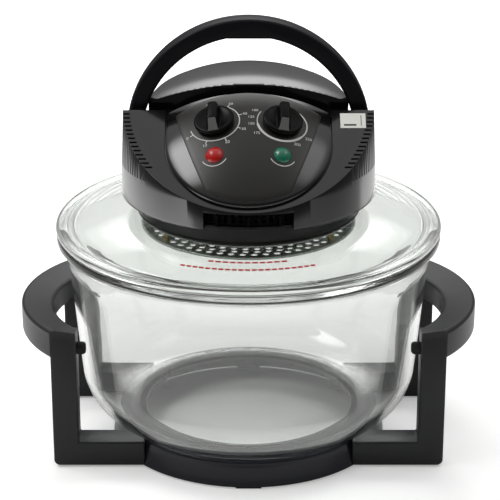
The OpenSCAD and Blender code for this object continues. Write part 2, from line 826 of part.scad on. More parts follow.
// Heater and air system
module mount_plate() {
    color("#aeb0b2") difference() {
        rotate_extrude($fn = 120) polygon([
            [dish_r + 1, plate_z], [plate_r - plate_t, plate_z], [plate_r - plate_t, clamp_z],
            [clamp_r, clamp_z], [clamp_r, clamp_z + plate_t], [plate_r, clamp_z + plate_t],
            [plate_r, plate_z + plate_t], [dish_r + 1, plate_z + plate_t]
        ]);
        for (a = [0:90:270]) rotate([0, 0, a]) translate([plate_screw_at, 0, plate_z - over])
            cylinder(r = screw_r + 0.2, h = plate_t + 2 * over, $fn = 24);
    }
}

module reflector() {
    t = 0.8;
    color("#cfd1d2") difference() {
        rotate_extrude($fn = 120) polygon([
            [7, dish_z + dish_h - t], [dish_top_r, dish_z + dish_h - t], [dish_r - t, dish_z],
            [dish_rim_r, dish_z], [dish_rim_r, dish_z + t], [dish_r, dish_z + t],
            [dish_top_r + 0.4, dish_z + dish_h], [7, dish_z + dish_h]
        ]);
        at_probe(dish_z - over) cylinder(r = 2, h = 30, $fn = 24);
    }
}

module heat_shield() {
    color("#9ea0a2") difference() {
        translate([0, 0, shield_z]) cylinder(r = lid_eye_r - 2, h = plate_t, $fn = 120);
        translate([0, 0, shield_z - over]) cylinder(r = 7, h = plate_t + 2 * over, $fn = 48);
        at_probe(shield_z - over) cylinder(r = 2, h = 30, $fn = 24);
    }
}

module halogen_tube() {
    color("#e9e4d6", 0.6) translate([0, 0, lamp_z]) rotate([0, 0, 90 + lamp_gap / 2])
        rotate_extrude(angle = 360 - lamp_gap, $fn = 120)
            translate([lamp_ring_r, 0]) circle(r = lamp_r, $fn = 32);
}

module lamp_holders() {
    color("#e8e3d8") for (side = [-1, 1]) rotate([0, 0, 90 + side * holder_turn])
        translate([lamp_ring_r - 7, -holder_w / 2, lamp_z - 7])
            cube([14, holder_w, 7 + dish_z + 6.5 - lamp_z]);
}

module heater_guard() {
    rings = floor((guard_r - 10) / guard_pitch);
    color("#b9bcbd") difference() {
        union() {
            translate([0, 0, guard_z]) cylinder(r = guard_r - 1.2, h = guard_t, $fn = 120);
            translate([0, 0, guard_z + guard_t / 2]) rotate_extrude($fn = 120)
                translate([guard_r - 1.4, 0]) circle(r = 1.4, $fn = 24);
        }
        translate([0, 0, guard_z - over]) linear_extrude(guard_t + 2 * over) {
            for (k = [1:rings]) {
                r = k * guard_pitch + 3;
                count = floor(2 * PI * r / (guard_pitch + 1.6));
                for (i = [0:count - 1]) let (a = (i + (k % 2) / 2) * 360 / count)
                    if (!near_post(r, a)) translate(on_circle(r, a)) circle(r = guard_hole_r, $fn = 24);
            }
            at_posts() circle(r = screw_r + 0.2, $fn = 24);
        }
    }
}

function post_angles() = [post_turn, 180 - post_turn, 180 + post_turn, 360 - post_turn];
function on_circle(r, a) = r * [cos(a), sin(a)];
function near_post(r, a) = min([for (p = post_angles()) norm(on_circle(r, a) - on_circle(post_at, p))])
    < guard_hole_r + post_r + 1.5;

module at_posts() { for (a = post_angles()) rotate([0, 0, a]) translate([post_at, 0]) children(); }

module guard_posts() {
    color("#9a7b4a") at_posts() translate([0, 0, guard_z + guard_t]) difference() {
        cylinder(r = post_r, h = plate_z - guard_z - guard_t, $fn = 32);
        translate([0, 0, -over]) cylinder(r = pilot_r, h = 8, $fn = 24);
    }
}

module guard_screws() {
    color("#a08050") at_posts() translate([0, 0, guard_z - 0.02]) screw_up(7);
}

module plate_screws() {
    color("#b9b9b4") for (a = [0:90:270]) rotate([0, 0, a])
        translate([plate_screw_at, 0, plate_z]) screw_up(9);
}

module housing_screws() {
    color("#b9b9b4") at_housing_screws(collar_top - wall) screw_up(12);
}

module motor() {
    color("#8f8a80") difference() {
        union() {
            translate([0, 0, motor_z]) cylinder(r = motor_r, h = motor_h, $fn = 60);
            translate([0, 0, motor_z - 4]) cylinder(r = 9, h = motor_h + 6, $fn = 40);
            for (a = [45:90:315]) rotate([0, 0, a]) translate([motor_r - 2, -5, motor_z]) cube([12, 10, 2.5]);
        }
        translate([0, 0, motor_z - 5]) cylinder(r = shaft_r + run_gap, h = motor_h + 2, $fn = 40);
        for (a = [45:90:315]) rotate([0, 0, a]) translate([motor_ear_r, 0, motor_z - over])
            cylinder(r = 1.7, h = 6, $fn = 24);
    }
}

module motor_posts() {
    color("#c0c0bc") for (a = [45:90:315]) rotate([0, 0, a]) translate([motor_ear_r, 0, shield_z + plate_t]) {
        cylinder(r = motor_post_r, h = motor_z - shield_z - plate_t, $fn = 24);
        cylinder(r = 1.6, h = motor_z - shield_z - plate_t + 5, $fn = 24);
    }
}

module motor_shaft() {
    color("#c9cbcc") translate([0, 0, shaft_low])
        cylinder(r = shaft_r, h = motor_z + motor_h - 6 - shaft_low, $fn = 40);
}

// A fan with flat blades set round a hub
module fan(r, blades, height, hub, lean) {
    difference() {
        union() {
            cylinder(r = hub, h = height, $fn = 40);
            cylinder(r = r - 6, h = 1, $fn = 72);
            for (i = [0:blades - 1]) rotate([0, 0, i * 360 / blades]) translate([hub - 1, 0, 0])
                rotate([0, 0, lean]) translate([0, -0.5, 0]) cube([r - hub, 1, height]);
        }
        translate([0, 0, -over]) cylinder(r = shaft_r + 0.02, h = height + 2 * over, $fn = 40);
    }
}

module cooling_fan() { color("#2c2c2c") translate([0, 0, cool_z]) fan(cool_r, 10, 8, 9, 12); }
module convection_fan() { color("#b5b7b8") translate([0, 0, fan_z]) fan(fan_r, fan_blades, 10, 6, 15); }

module fan_nut() {
    color("#8a8a86") translate([0, 0, fan_z - 4.5]) difference() {
        cylinder(r = 5.5, h = 4.5, $fn = 6);
        translate([0, 0, -over]) cylinder(r = shaft_r, h = 4.5 + 2 * over, $fn = 40);
    }
}

module terminal_block() {
    color("#e2ddcf") translate([0, terminal_y, shield_z + plate_t]) difference() {
        translate([-16, -6, 0]) cube([32, 12, 11]);
        for (x = [-10, 0, 10]) translate([x, 0, 5]) rotate([90, 0, 0])
            cylinder(r = 2, h = 30, center = true, $fn = 24);
    }
}

module micro_switch() {
    low = switch_top - 10;
    color("#2a2622") translate([handle_in + handle_t / 2 - 3.2, pivot_y - 9, low]) {
        cube([6.4, 18, 10]);
        for (y = [0, 14.5]) translate([0, y, 9]) cube([6.4, 3.5, deck_z - wall - low - 9]);
    }
}

// Handle
function cam_r(a) = hub_r + plunger_travel * a / 90;

// Hub outline in the Y and Z directions; it grows at a steady rate from straight down to straight back
module hub_outline() {
    circle(r = hub_r, $fn = 60);
    polygon(concat([[0, 0]], [for (a = [0:6:90]) [cam_r(a) * sin(a), -cam_r(a) * cos(a)]],
        [[cam_r(90), 6], [0, hub_r]]));
}

module handle() {
    out_r = (pow(handle_out, 2) + pow(bow_rise + bow_flat, 2)) / (2 * (bow_rise + bow_flat));
    in_r = (pow(handle_in, 2) + pow(bow_in_rise, 2)) / (2 * bow_in_rise);
    color("#141416") translate([0, pivot_y, pivot_z]) difference() {
        union() {
            rotate([90, 0, 0]) linear_extrude(handle_d, center = true) intersection() {
                difference() {
                    translate([0, bow_rise + bow_flat - out_r]) circle(r = out_r, $fn = 180);
                    intersection() {
                        translate([0, bow_in_rise - in_r]) circle(r = in_r, $fn = 180);
                        translate([-150, -150]) square([300, 150 + bow_rise]);
                    }
                }
                translate([-handle_out, 0]) square([2 * handle_out, 150]);
            }
            both_sides() translate([handle_in, 0, 0]) rotate([90, 0, 90])
                linear_extrude(handle_t) hub_outline();
        }
        rotate([0, 90, 0]) cylinder(r = pin_r + run_gap, h = 300, center = true, $fn = 48);
    }
}

module safety_plunger() {
    top = pivot_z - hub_r - rest_gap;
    low = switch_top + rest_gap + plunger_travel;
    color("#d8d4c8") translate([handle_in + handle_t / 2, pivot_y, 0]) {
        translate([0, 0, low]) cylinder(r = plunger_r, h = top - 1.5 - low, $fn = 32);
        translate([0, 0, top - 1.51]) cylinder(r1 = plunger_r, r2 = 1, h = 1.51, $fn = 32);
    }
}

base_ring();
bowl_rest();
left_side_frame();
right_side_frame();
frame_screws();
rubber_feet();
bowl_buffers();
glass_bowl();
glass_lid();
lid_gasket();
collar();
outer_shell();
control_dome();
panel_fascia();
rear_cover();
front_vent();
power_lens();
heat_lens();
power_lamp();
heat_lamp();
timer_unit();
thermostat_unit();
thermostat_probe();
mount_plate();
heat_shield();
reflector();
halogen_tube();
lamp_holders();
heater_guard();
guard_posts();
guard_screws();
plate_screws();
housing_screws();
motor();
motor_posts();
terminal_block();
micro_switch();
cord_gland();
handle_pins();
motor_shaft();
cooling_fan();
convection_fan();
fan_nut();
handle();
timer_knob();
timer_spindle();
thermostat_knob();
thermostat_spindle();
safety_plunger();
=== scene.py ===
"""Looks of a halogen oven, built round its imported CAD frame.

Lengths are millimetres and angles degrees, unless a name says otherwise. Every piece is drawn in the
frame of the CAD: the origin on the floor under the base ring, +Z up, front towards -Y.
"""

import logging
import math
from collections.abc import Sequence
from dataclasses import dataclass, field
from enum import Enum

import bmesh
import bpy
from mathutils import Euler, Matrix, Vector


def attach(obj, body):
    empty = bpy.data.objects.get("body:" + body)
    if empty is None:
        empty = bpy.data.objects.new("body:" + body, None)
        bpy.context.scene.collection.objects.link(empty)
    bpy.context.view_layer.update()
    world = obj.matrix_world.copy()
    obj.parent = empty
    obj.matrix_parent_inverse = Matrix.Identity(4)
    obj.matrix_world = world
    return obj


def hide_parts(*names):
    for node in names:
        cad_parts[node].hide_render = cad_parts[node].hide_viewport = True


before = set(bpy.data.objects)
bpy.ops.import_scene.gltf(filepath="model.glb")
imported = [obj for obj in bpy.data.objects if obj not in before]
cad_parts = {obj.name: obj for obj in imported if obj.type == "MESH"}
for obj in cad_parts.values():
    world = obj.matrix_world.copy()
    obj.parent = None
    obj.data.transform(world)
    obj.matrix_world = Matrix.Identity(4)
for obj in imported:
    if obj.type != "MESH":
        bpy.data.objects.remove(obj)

log = logging.getLogger("halogen_oven")

MM = 0.001
SIDES = (-1, 1)
# Points that lie closer than this are merged
DOUBLES = 1e-4
# Lays a form that is drawn in X and Y, and extruded along Z, so that it runs along X
ALONG_X = Matrix(((0, 0, 1, 0), (1, 0, 0, 0), (0, 1, 0, 0), (0, 0, 0, 1)))
# Sockets of a Mix node between its factor and its two colours
NOT_COLOUR = (None,) * 5

Point = tuple[float, float]
Corner = tuple[float, float, float]
Colour = tuple[float, float, float, float]
Socket = bpy.types.NodeSocket
Tree = bpy.types.NodeTree


def linear(hex_colour: str) -> Colour:
    """Turns a colour as the eye reads it into the linear values that Blender works with.

    Args:
        hex_colour: The sRGB colour as '#rrggbb'.

    Returns:
        Red, green and blue from 0 to 1, and an alpha of 1.
    """
    parts = [int(hex_colour[i : i + 2], 16) / 255 for i in (1, 3, 5)]
    r, g, b = (c / 12.92 if c <= 0.04045 else ((c + 0.055) / 1.055) ** 2.4 for c in parts)
    return (r, g, b, 1.0)


def turned(angle: float, axis: str) -> Matrix:
    """A turn about an axis of the frame, named by its letter."""
    return Matrix.Rotation(math.radians(angle), 4, axis)


def facing(place: Sequence[float], aim: Sequence[float]) -> Euler:
    """The turn of a camera or lamp that stands at place and looks at aim."""
    return (Vector(aim) - Vector(place)).to_track_quat("-Z", "Y").to_euler()


def shown(name: str, data: bpy.types.ID) -> bpy.types.Object:
    """Puts data into the scene.

    Args:
        name: The name of its object.
        data: A mesh, curve, light or camera.

    Returns:
        The object, at the origin.
    """
    obj = bpy.data.objects.new(name, data)
    bpy.context.scene.collection.objects.link(obj)
    return obj


def empty_tree(owner: bpy.types.Material | bpy.types.World | bpy.types.Light) -> Tree:
    """Switches on the nodes of a material, world or light and takes the default ones away.

    Args:
        owner: What the nodes belong to.

    Returns:
        Its empty node tree.
    """
    owner.use_nodes = True
    owner.node_tree.nodes.clear()
    return owner.node_tree


def add_node(tree: Tree, kind: str, *inputs: object, **settings: object) -> bpy.types.Node:
    """Adds one shader node with its settings and links.

    Args:
        tree: The node tree that gets it.
        kind: Blender's type name of the node, less its "ShaderNode".
        inputs: What goes into its sockets, in their order. A socket is linked, a node's first output is
            linked, None leaves the socket as it is, and any other value is set.
        settings: The same by socket name, spaces written as underscores. A name that no socket has is
            a property.

    Returns:
        The new node.
    """
    node = tree.nodes.new(f"ShaderNode{kind}")
    asked = []
    for key, value in settings.items():
        socket = node.inputs.get(key.replace("_", " "))
        if socket is None:
            setattr(node, key, value)
        else:
            asked.append((socket, value))
    asked += zip(node.inputs, inputs)
    for socket, value in asked:
        if isinstance(value, bpy.types.Node):
            tree.links.new(value.outputs[0], socket)
        elif isinstance(value, Socket):
            tree.links.new(value, socket)
        elif value is not None:
            socket.default_value = value
    return node


class Grain(Enum):
    """A surface at close range: its texture, how much coarser that is, and the texture's settings."""

    POLISHED = ("TexNoise", 12.0, {"Detail": 1.0})
    SPARK = ("TexVoronoi", 1.0, {"feature": "SMOOTH_F1"})
    BRUSHED = ("TexNoise", 1.0, {"Detail": 5.0})
    CAST = ("TexNoise", 1.0, {"Detail": 8.0, "Roughness": 0.6})
    NONE = None


@dataclass(frozen=True)
class Finish:
    """One real material: what it is made of, and how its surface is worked."""

    name: str
    colour: str
    roughness: float
    roughness_spread: float = 0.04
    metallic: float = 0.0
    coat: float = 0.0
    coat_roughness: float = 0.04
    specular: float = 0.5
    grain: Grain = Grain.POLISHED
    # Moulded, sanded and printed grain is a tenth of a millimetre, which the picture can't show, so it
    # is drawn as coarse as it needs to show
    grain_size: float = 1.2
    grain_depth: float = 0.02
    brush_stretch: float = 14.0
    second_colour: str | None = None
    patch_size: float = 40.0
    handling_size: float = 25.0
    transmission: float = 0.0
    clear_shadow: Colour = (0.96, 0.968, 0.964, 1.0)
    ior: float | None = None
    # Painted glow: light given off by the surface itself, though it is no lamp
    painted_glow: float = 0.0

    def material(self) -> bpy.types.Material:
        """Builds the finish's shader once and gives the same one from then on.

        Returns:
            The material.
        """
        known = bpy.data.materials.get(self.name)
        if known is not None and known.get("oven_finish"):
            return known
        mat = bpy.data.materials.new(self.name)
        mat["oven_finish"] = True
        tree = empty_tree(mat)
        place = add_node(tree, "TexCoord").outputs["Object"]
        surface = add_node(
            tree, "BsdfPrincipled", Metallic=self.metallic, IOR=self.ior,
            Specular_IOR_Level=self.specular, Coat_Weight=self.coat, Coat_Roughness=self.coat_roughness,
            Transmission_Weight=self.transmission, Base_Color=self._colour(tree, place),
            Roughness=self._roughness(tree, place), Normal=self._relief(tree, place),
            # Painted glow: the surface gives off its own colour as light
            Emission_Color=linear(self.colour) if self.painted_glow else None, Emission_Strength=self.painted_glow,
        )
        if self.transmission:
            # Clear glass lets light through, so that it throws the pale shadow that real glass does
            path = add_node(tree, "LightPath").outputs
            clear = add_node(tree, "BsdfTransparent", Color=self.clear_shadow)
            surface = add_node(tree, "MixShader", path["Is Shadow Ray"], surface, clear)
        add_node(tree, "OutputMaterial", surface)
        return mat

    def _colour(self, tree: Tree, place: Socket) -> Colour | Socket:
        """Gives the base colour.

        Args:
            tree: The material's nodes.
            place: The place on the piece.

        Returns:
            One colour, or a slow mottle of two tones where there is a second one.
        """
        if self.second_colour is None:
            return linear(self.colour)
        patches = add_node(tree, "TexNoise", Vector=place, Scale=1 / (self.patch_size * MM), Detail=3.0)
        tones = linear(self.colour), linear(self.second_colour)
        return add_node(tree, "Mix", patches, *NOT_COLOUR, *tones, data_type="RGBA").outputs[2]

    def _roughness(self, tree: Tree, place: Socket) -> float | bpy.types.Node:
        """Lets the polish vary a little from place to place, as handling leaves it.

        Args:
            tree: The material's nodes.
            place: The place on the piece.

        Returns:
            One roughness, or the node that varies it where it has a spread.
        """
        if not self.roughness_spread:
            return self.roughness
        cloud = add_node(tree, "TexNoise", Vector=place, Scale=1 / (self.handling_size * MM), Detail=4.0)
        least = max(0.0, self.roughness - self.roughness_spread)
        most = self.roughness + self.roughness_spread
        return add_node(tree, "MapRange", Value=cloud, To_Min=least, To_Max=most)

    def _relief(self, tree: Tree, place: Socket) -> bpy.types.Node | None:
        """Adds the fine relief of the surface.

        Args:
            tree: The material's nodes.
            place: The place on the piece.

        Returns:
            The node that gives the normal, or None for a flat surface.
        """
        if self.grain is Grain.NONE:
            return None
        texture, coarser, settings = self.grain.value
        if self.grain is Grain.BRUSHED:
            stretched = add_node(tree, "Mapping", Vector=place, Scale=(1.0, 1.0, self.brush_stretch))
            place = stretched.outputs[0]
        scale = 1 / (self.grain_size * MM * coarser)
        height = add_node(tree, texture, Vector=place, Scale=scale, **settings)
        return add_node(tree, "Bump", Height=height, Distance=self.grain_depth * MM, Strength=1.0)


# Injection-moulded polypropylene of the stand: satin charcoal that shows a fine, even grain
STAND_PLASTIC = Finish(
    "stand_polypropylene", "#1c1c1e", 0.36, 0.05, specular=0.33, grain=Grain.SPARK, grain_size=0.9,
    grain_depth=0.02, second_colour="#1d1d1f",
)
# The base ring is the same plastic polished: glossy bluish black with clear highlights
RING_PLASTIC = Finish(
    "ring_gloss_polypropylene", "#15151d", 0.12, 0.03, specular=0.3, second_colour="#1a1a23"
)
# Head housing in ABS, moulded in a polished tool: deep black whose colour comes from what it reflects
HOUSING = Finish("housing_gloss_abs", "#0c0c0c", 0.16, 0.03, coat=0.25, second_colour="#101010")
# Handle in PA66, moulded in an eroded tool: near black with a softer shine than the housing
HANDLE_PLASTIC = Finish(
    "handle_polyamide", "#0a0a0e", 0.42, 0.05, specular=0.16, second_colour="#0d0d12", grain=Grain.SPARK,
    grain_size=0.8, grain_depth=0.012,
)
# Collar pressed from phenolic resin, which stands the lamp's heat: dull black-brown, its colour darkened
# further as painted shade under the overhanging shell
PHENOLIC_AND_SHADE = Finish(
    "collar_phenolic_shade", "#090909", 0.34, 0.05, specular=0.35, second_colour="#0c0c0c", grain=Grain.CAST,
    grain_size=2.5, grain_depth=0.02,
)
# Printed polycarbonate fascia: satin warm grey film
FASCIA_FILM = Finish(
    "fascia_film", "#1a1916", 0.36, 0.04, specular=0.42, grain=Grain.SPARK, grain_size=0.35,
    grain_depth=0.008, second_colour="#1d1c18",
)
# Silver-grey screen print on the fascia: matt and a little uneven
PRINT_INK = Finish(
    "dial_ink", "#cfcfc9", 0.5, 0.06, grain=Grain.CAST, grain_size=0.5, grain_depth=0.01,
    second_colour="#bdbdb7",
)
# Knobs in ABS, moulded in a polished tool: the blackest pieces of the head
KNOB_PLASTIC = Finish("knob_gloss_abs", "#050505", 0.26, 0.04, specular=0.1, second_colour="#080808")
# Bar front of the knob: the same plastic, with a dark grey painted reflection of the lit surroundings
# that its slope mirrors
KNOB_PAINTED_REFLECTION = Finish(
    "knob_painted_reflection", "#575756", 0.34, 0.05, grain=Grain.SPARK, grain_size=0.5, grain_depth=0.02,
    second_colour="#626260",
)
# Inner parts of moulded polypropylene, left as they come from the tool: dull black
DARK_PLASTIC = Finish(
    "inner_black_plastic", "#0c0c0c", 0.5, 0.06, grain=Grain.CAST, grain_size=1.5, grain_depth=0.02
)
# Vent grid: the same plastic, left rough where no eye rests on it, and blacker than the other inner parts
# as painted shade of the dark opening behind it, so it swallows the light
VENT_SHADED_PLASTIC = Finish(
    "vent_painted_shade", "#040404", 0.7, 0.06, specular=0.12, grain=Grain.CAST, grain_size=1.5,
    grain_depth=0.02,
)
# Pressed borosilicate bowl: clear, with the faint green-grey that thick edges show
BOWL_GLASS = Finish(
    "bowl_borosilicate", "#e9eae9", 0.0, 0.0, transmission=1.0, ior=1.47, grain_size=3.0,
    grain_depth=0.012,
)
# Pressed and tempered glass of the lid: slightly greener than the bowl
LID_GLASS = Finish(
    "lid_tempered_glass", "#e8ebe8", 0.0, 0.0, transmission=1.0, ior=1.5, grain_size=3.0, grain_depth=0.01
)
# Moulded silicone gasket: soft dull black
SILICONE = Finish(
    "gasket_silicone", "#26231f", 0.6, 0.05, grain=Grain.CAST, grain_size=0.8, grain_depth=0.03
)
# Feet and buffers of moulded rubber: dull black with a fine bloom
RUBBER = Finish(
    "foot_rubber", "#161616", 0.75, 0.06, grain=Grain.CAST, grain_size=0.6, grain_depth=0.05,
    second_colour="#1d1d1c",
)
# Lenses moulded in tinted acrylic, over neon lamps: glossy, with a lumpy depth that catches the light.
# Their faint glow is painted light that stands in for the lamps shining through them
RED_LENS = Finish(
    "lens_red_acrylic", "#9c0b08", 0.16, 0.03, coat=0.3, second_colour="#b5160f", painted_glow=0.06,
    grain=Grain.CAST, grain_size=3.0, grain_depth=0.35,
)
GREEN_LENS = Finish(
    "lens_green_acrylic", "#07573f", 0.16, 0.03, coat=0.3, second_colour="#1a6f57", painted_glow=0.06,
    grain=Grain.CAST, grain_size=3.0, grain_depth=0.35,
)
# Blown glass of the neon lamps: warm and half clear
NEON_GLASS = Finish("neon_lamp_glass", "#e9d8c4", 0.08, 0.02, transmission=0.8, ior=1.47)
# Nickel-plated steel of the guard: greenish grey, brightly worn
GUARD_STEEL = Finish(
    "guard_steel", "#c4c9c2", 0.28, 0.07, metallic=0.8, grain=Grain.CAST, grain_size=2.0,
    grain_depth=0.02, second_colour="#b0b6ae",
)
# Galvanised sheet of the plate and shield: mottled by its zinc
SHEET_STEEL = Finish(
    "galvanised_sheet", "#a6a9aa", 0.36, 0.08, metallic=1.0, grain=Grain.CAST, grain_size=6.0,
    grain_depth=0.02, second_colour="#8d9092",
)
# Spun aluminium of the reflector: bright, with faint rings of the tool
REFLECTOR_METAL = Finish(
    "reflector_aluminium", "#c9cbcc", 0.2, 0.05, metallic=1.0, grain=Grain.BRUSHED, grain_size=4.0,
    grain_depth=0.01,
)
# Zinc-plated screws and pins: pale, softly shining
SCREW_STEEL = Finish(
    "zinc_screw", "#b4b4ae", 0.3, 0.06, metallic=1.0, grain=Grain.CAST, grain_size=0.8, grain_depth=0.01
)
# Ground steel of the shafts: smooth and bright along their length
SHAFT_STEEL = Finish(
    "ground_steel", "#b9bbbc", 0.22, 0.04, metallic=1.0, grain=Grain.BRUSHED, grain_size=0.5,
    grain_depth=0.004,
)
# Stacked laminations of the motor: brownish grey, ribbed by their edges
MOTOR_STEEL = Finish(
    "motor_lamination", "#7d7a72", 0.45, 0.08, metallic=0.9, grain=Grain.BRUSHED, grain_size=0.6,
    grain_depth=0.03, second_colour="#6a665e",
)
# Pressed aluminium of the hot air fan: pale and slightly dull
FAN_METAL = Finish(
    "fan_aluminium", "#b7b9ba", 0.32, 0.06, metallic=1.0, grain=Grain.CAST, grain_size=1.5,
    grain_depth=0.01,
)
# Turned brass posts: dulled yellow-brown
BRASS = Finish(
    "brass", "#d8c799", 0.28, 0.07, metallic=1.0, grain=Grain.BRUSHED, grain_size=0.6, grain_depth=0.006,
    second_colour="#c3b07c",
)
# Drawn quartz of the halogen tube: nearly clear and very smooth
TUBE_GLASS = Finish("quartz_tube", "#f3efe6", 0.03, 0.02, transmission=0.85, ior=1.46)
# Unglazed ceramic of the lamp holders: chalky off-white
CERAMIC = Finish(
    "lamp_ceramic", "#ded9cd", 0.7, 0.06, grain=Grain.CAST, grain_size=0.7, grain_depth=0.04,
    second_colour="#d2ccbe",
)
# Undyed nylon, moulded: waxy yellowish white
WHITE_PLASTIC = Finish(
    "natural_nylon", "#d3cfc2", 0.42, 0.06, grain=Grain.CAST, grain_size=1.2, grain_depth=0.02,
    second_colour="#c6c1b3",
)
# Moulded resin case of the timer: dull beige
TIMER_CASE = Finish(
    "timer_case_resin", "#bdb8a8", 0.5, 0.06, grain=Grain.CAST, grain_size=1.0, grain_depth=0.02,
    second_colour="#aaa596",
)
# Drawn steel case of the thermostat: mid grey with a soft shine
CONTROL_CASE = Finish(
    "control_case_steel", "#85878a", 0.38, 0.06, metallic=1.0, grain=Grain.CAST, grain_size=1.0,
    grain_depth=0.01,
)
# Paper sticker: off-white with a soft fibre
STICKER_PAPER = Finish(
    "sticker_paper", "#e9e9e2", 0.55, 0.05, grain=Grain.CAST, grain_size=0.4, grain_depth=0.01,
    second_colour="#dfdfd8",
)
# Ink on the sticker: flat dark grey
STICKER_INK = Finish("sticker_ink", "#3a3a3a", 0.5, 0.05, grain=Grain.NONE)
# Red enamel fired on the lid: opaque, with a low shine
LID_ENAMEL = Finish(
    "lid_red_enamel", "#b8271c", 0.4, 0.05, grain=Grain.CAST, grain_size=0.5, grain_depth=0.01,
    second_colour="#a82118",
)


def arc(cx: float, cy: float, radius: float, start: float, end: float, step: float = 6.0) -> list[Point]:
    """Points on an arc.

    Args:
        cx: Centre along the first axis.
        cy: Centre along the second axis.
        radius: Radius of the arc.
        start: Angle of its first point.
        end: Angle of its last point.
        step: Largest turn from point to point.

    Returns:
        The points, both ends included.
    """
    count = max(2, math.ceil(abs(end - start) / step))
    turns = [math.radians(start + (end - start) * i / count) for i in range(count + 1)]
    return [(cx + radius * math.cos(t), cy + radius * math.sin(t)) for t in turns]


def rounded(corners: Sequence[Corner], step: float = 15.0) -> list[Point]:
    """A closed outline whose corners are rounded.

    Args:
        corners: (x, y, radius) of each corner in order. A radius of 0 keeps it sharp.
        step: Largest turn from point to point on a rounding.

    Returns:
        The outline's points.
    """
    points: list[Point] = []
    for i, (x, y, r) in enumerate(corners):
        here = Vector((x, y))
        before = Vector(corners[i - 1][:2]) - here
        after = Vector(corners[(i + 1) % len(corners)][:2]) - here
        if r <= 0 or before.length < 1e-6 or after.length < 1e-6:
            points.append((x, y))
            continue
        half = before.angle(after) / 2
        reach = min(r / math.tan(half), 0.49 * before.length, 0.49 * after.length)
        r = reach * math.tan(half)
        before, after = before.normalized(), after.normalized()
        centre = here + (before + after).normalized() * (r / math.sin(half))
        first, last = here + before * reach - centre, here + after * reach - centre
        sweep = first.angle_signed(last)
        count = max(2, math.ceil(abs(math.degrees(sweep)) / step))
        for k in range(count + 1):
            turn = -sweep * k / count
            c, s = math.cos(turn), math.sin(turn)
            points.append((centre.x + first.x * c - first.y * s, centre.y + first.x * s + first.y * c))
    return points


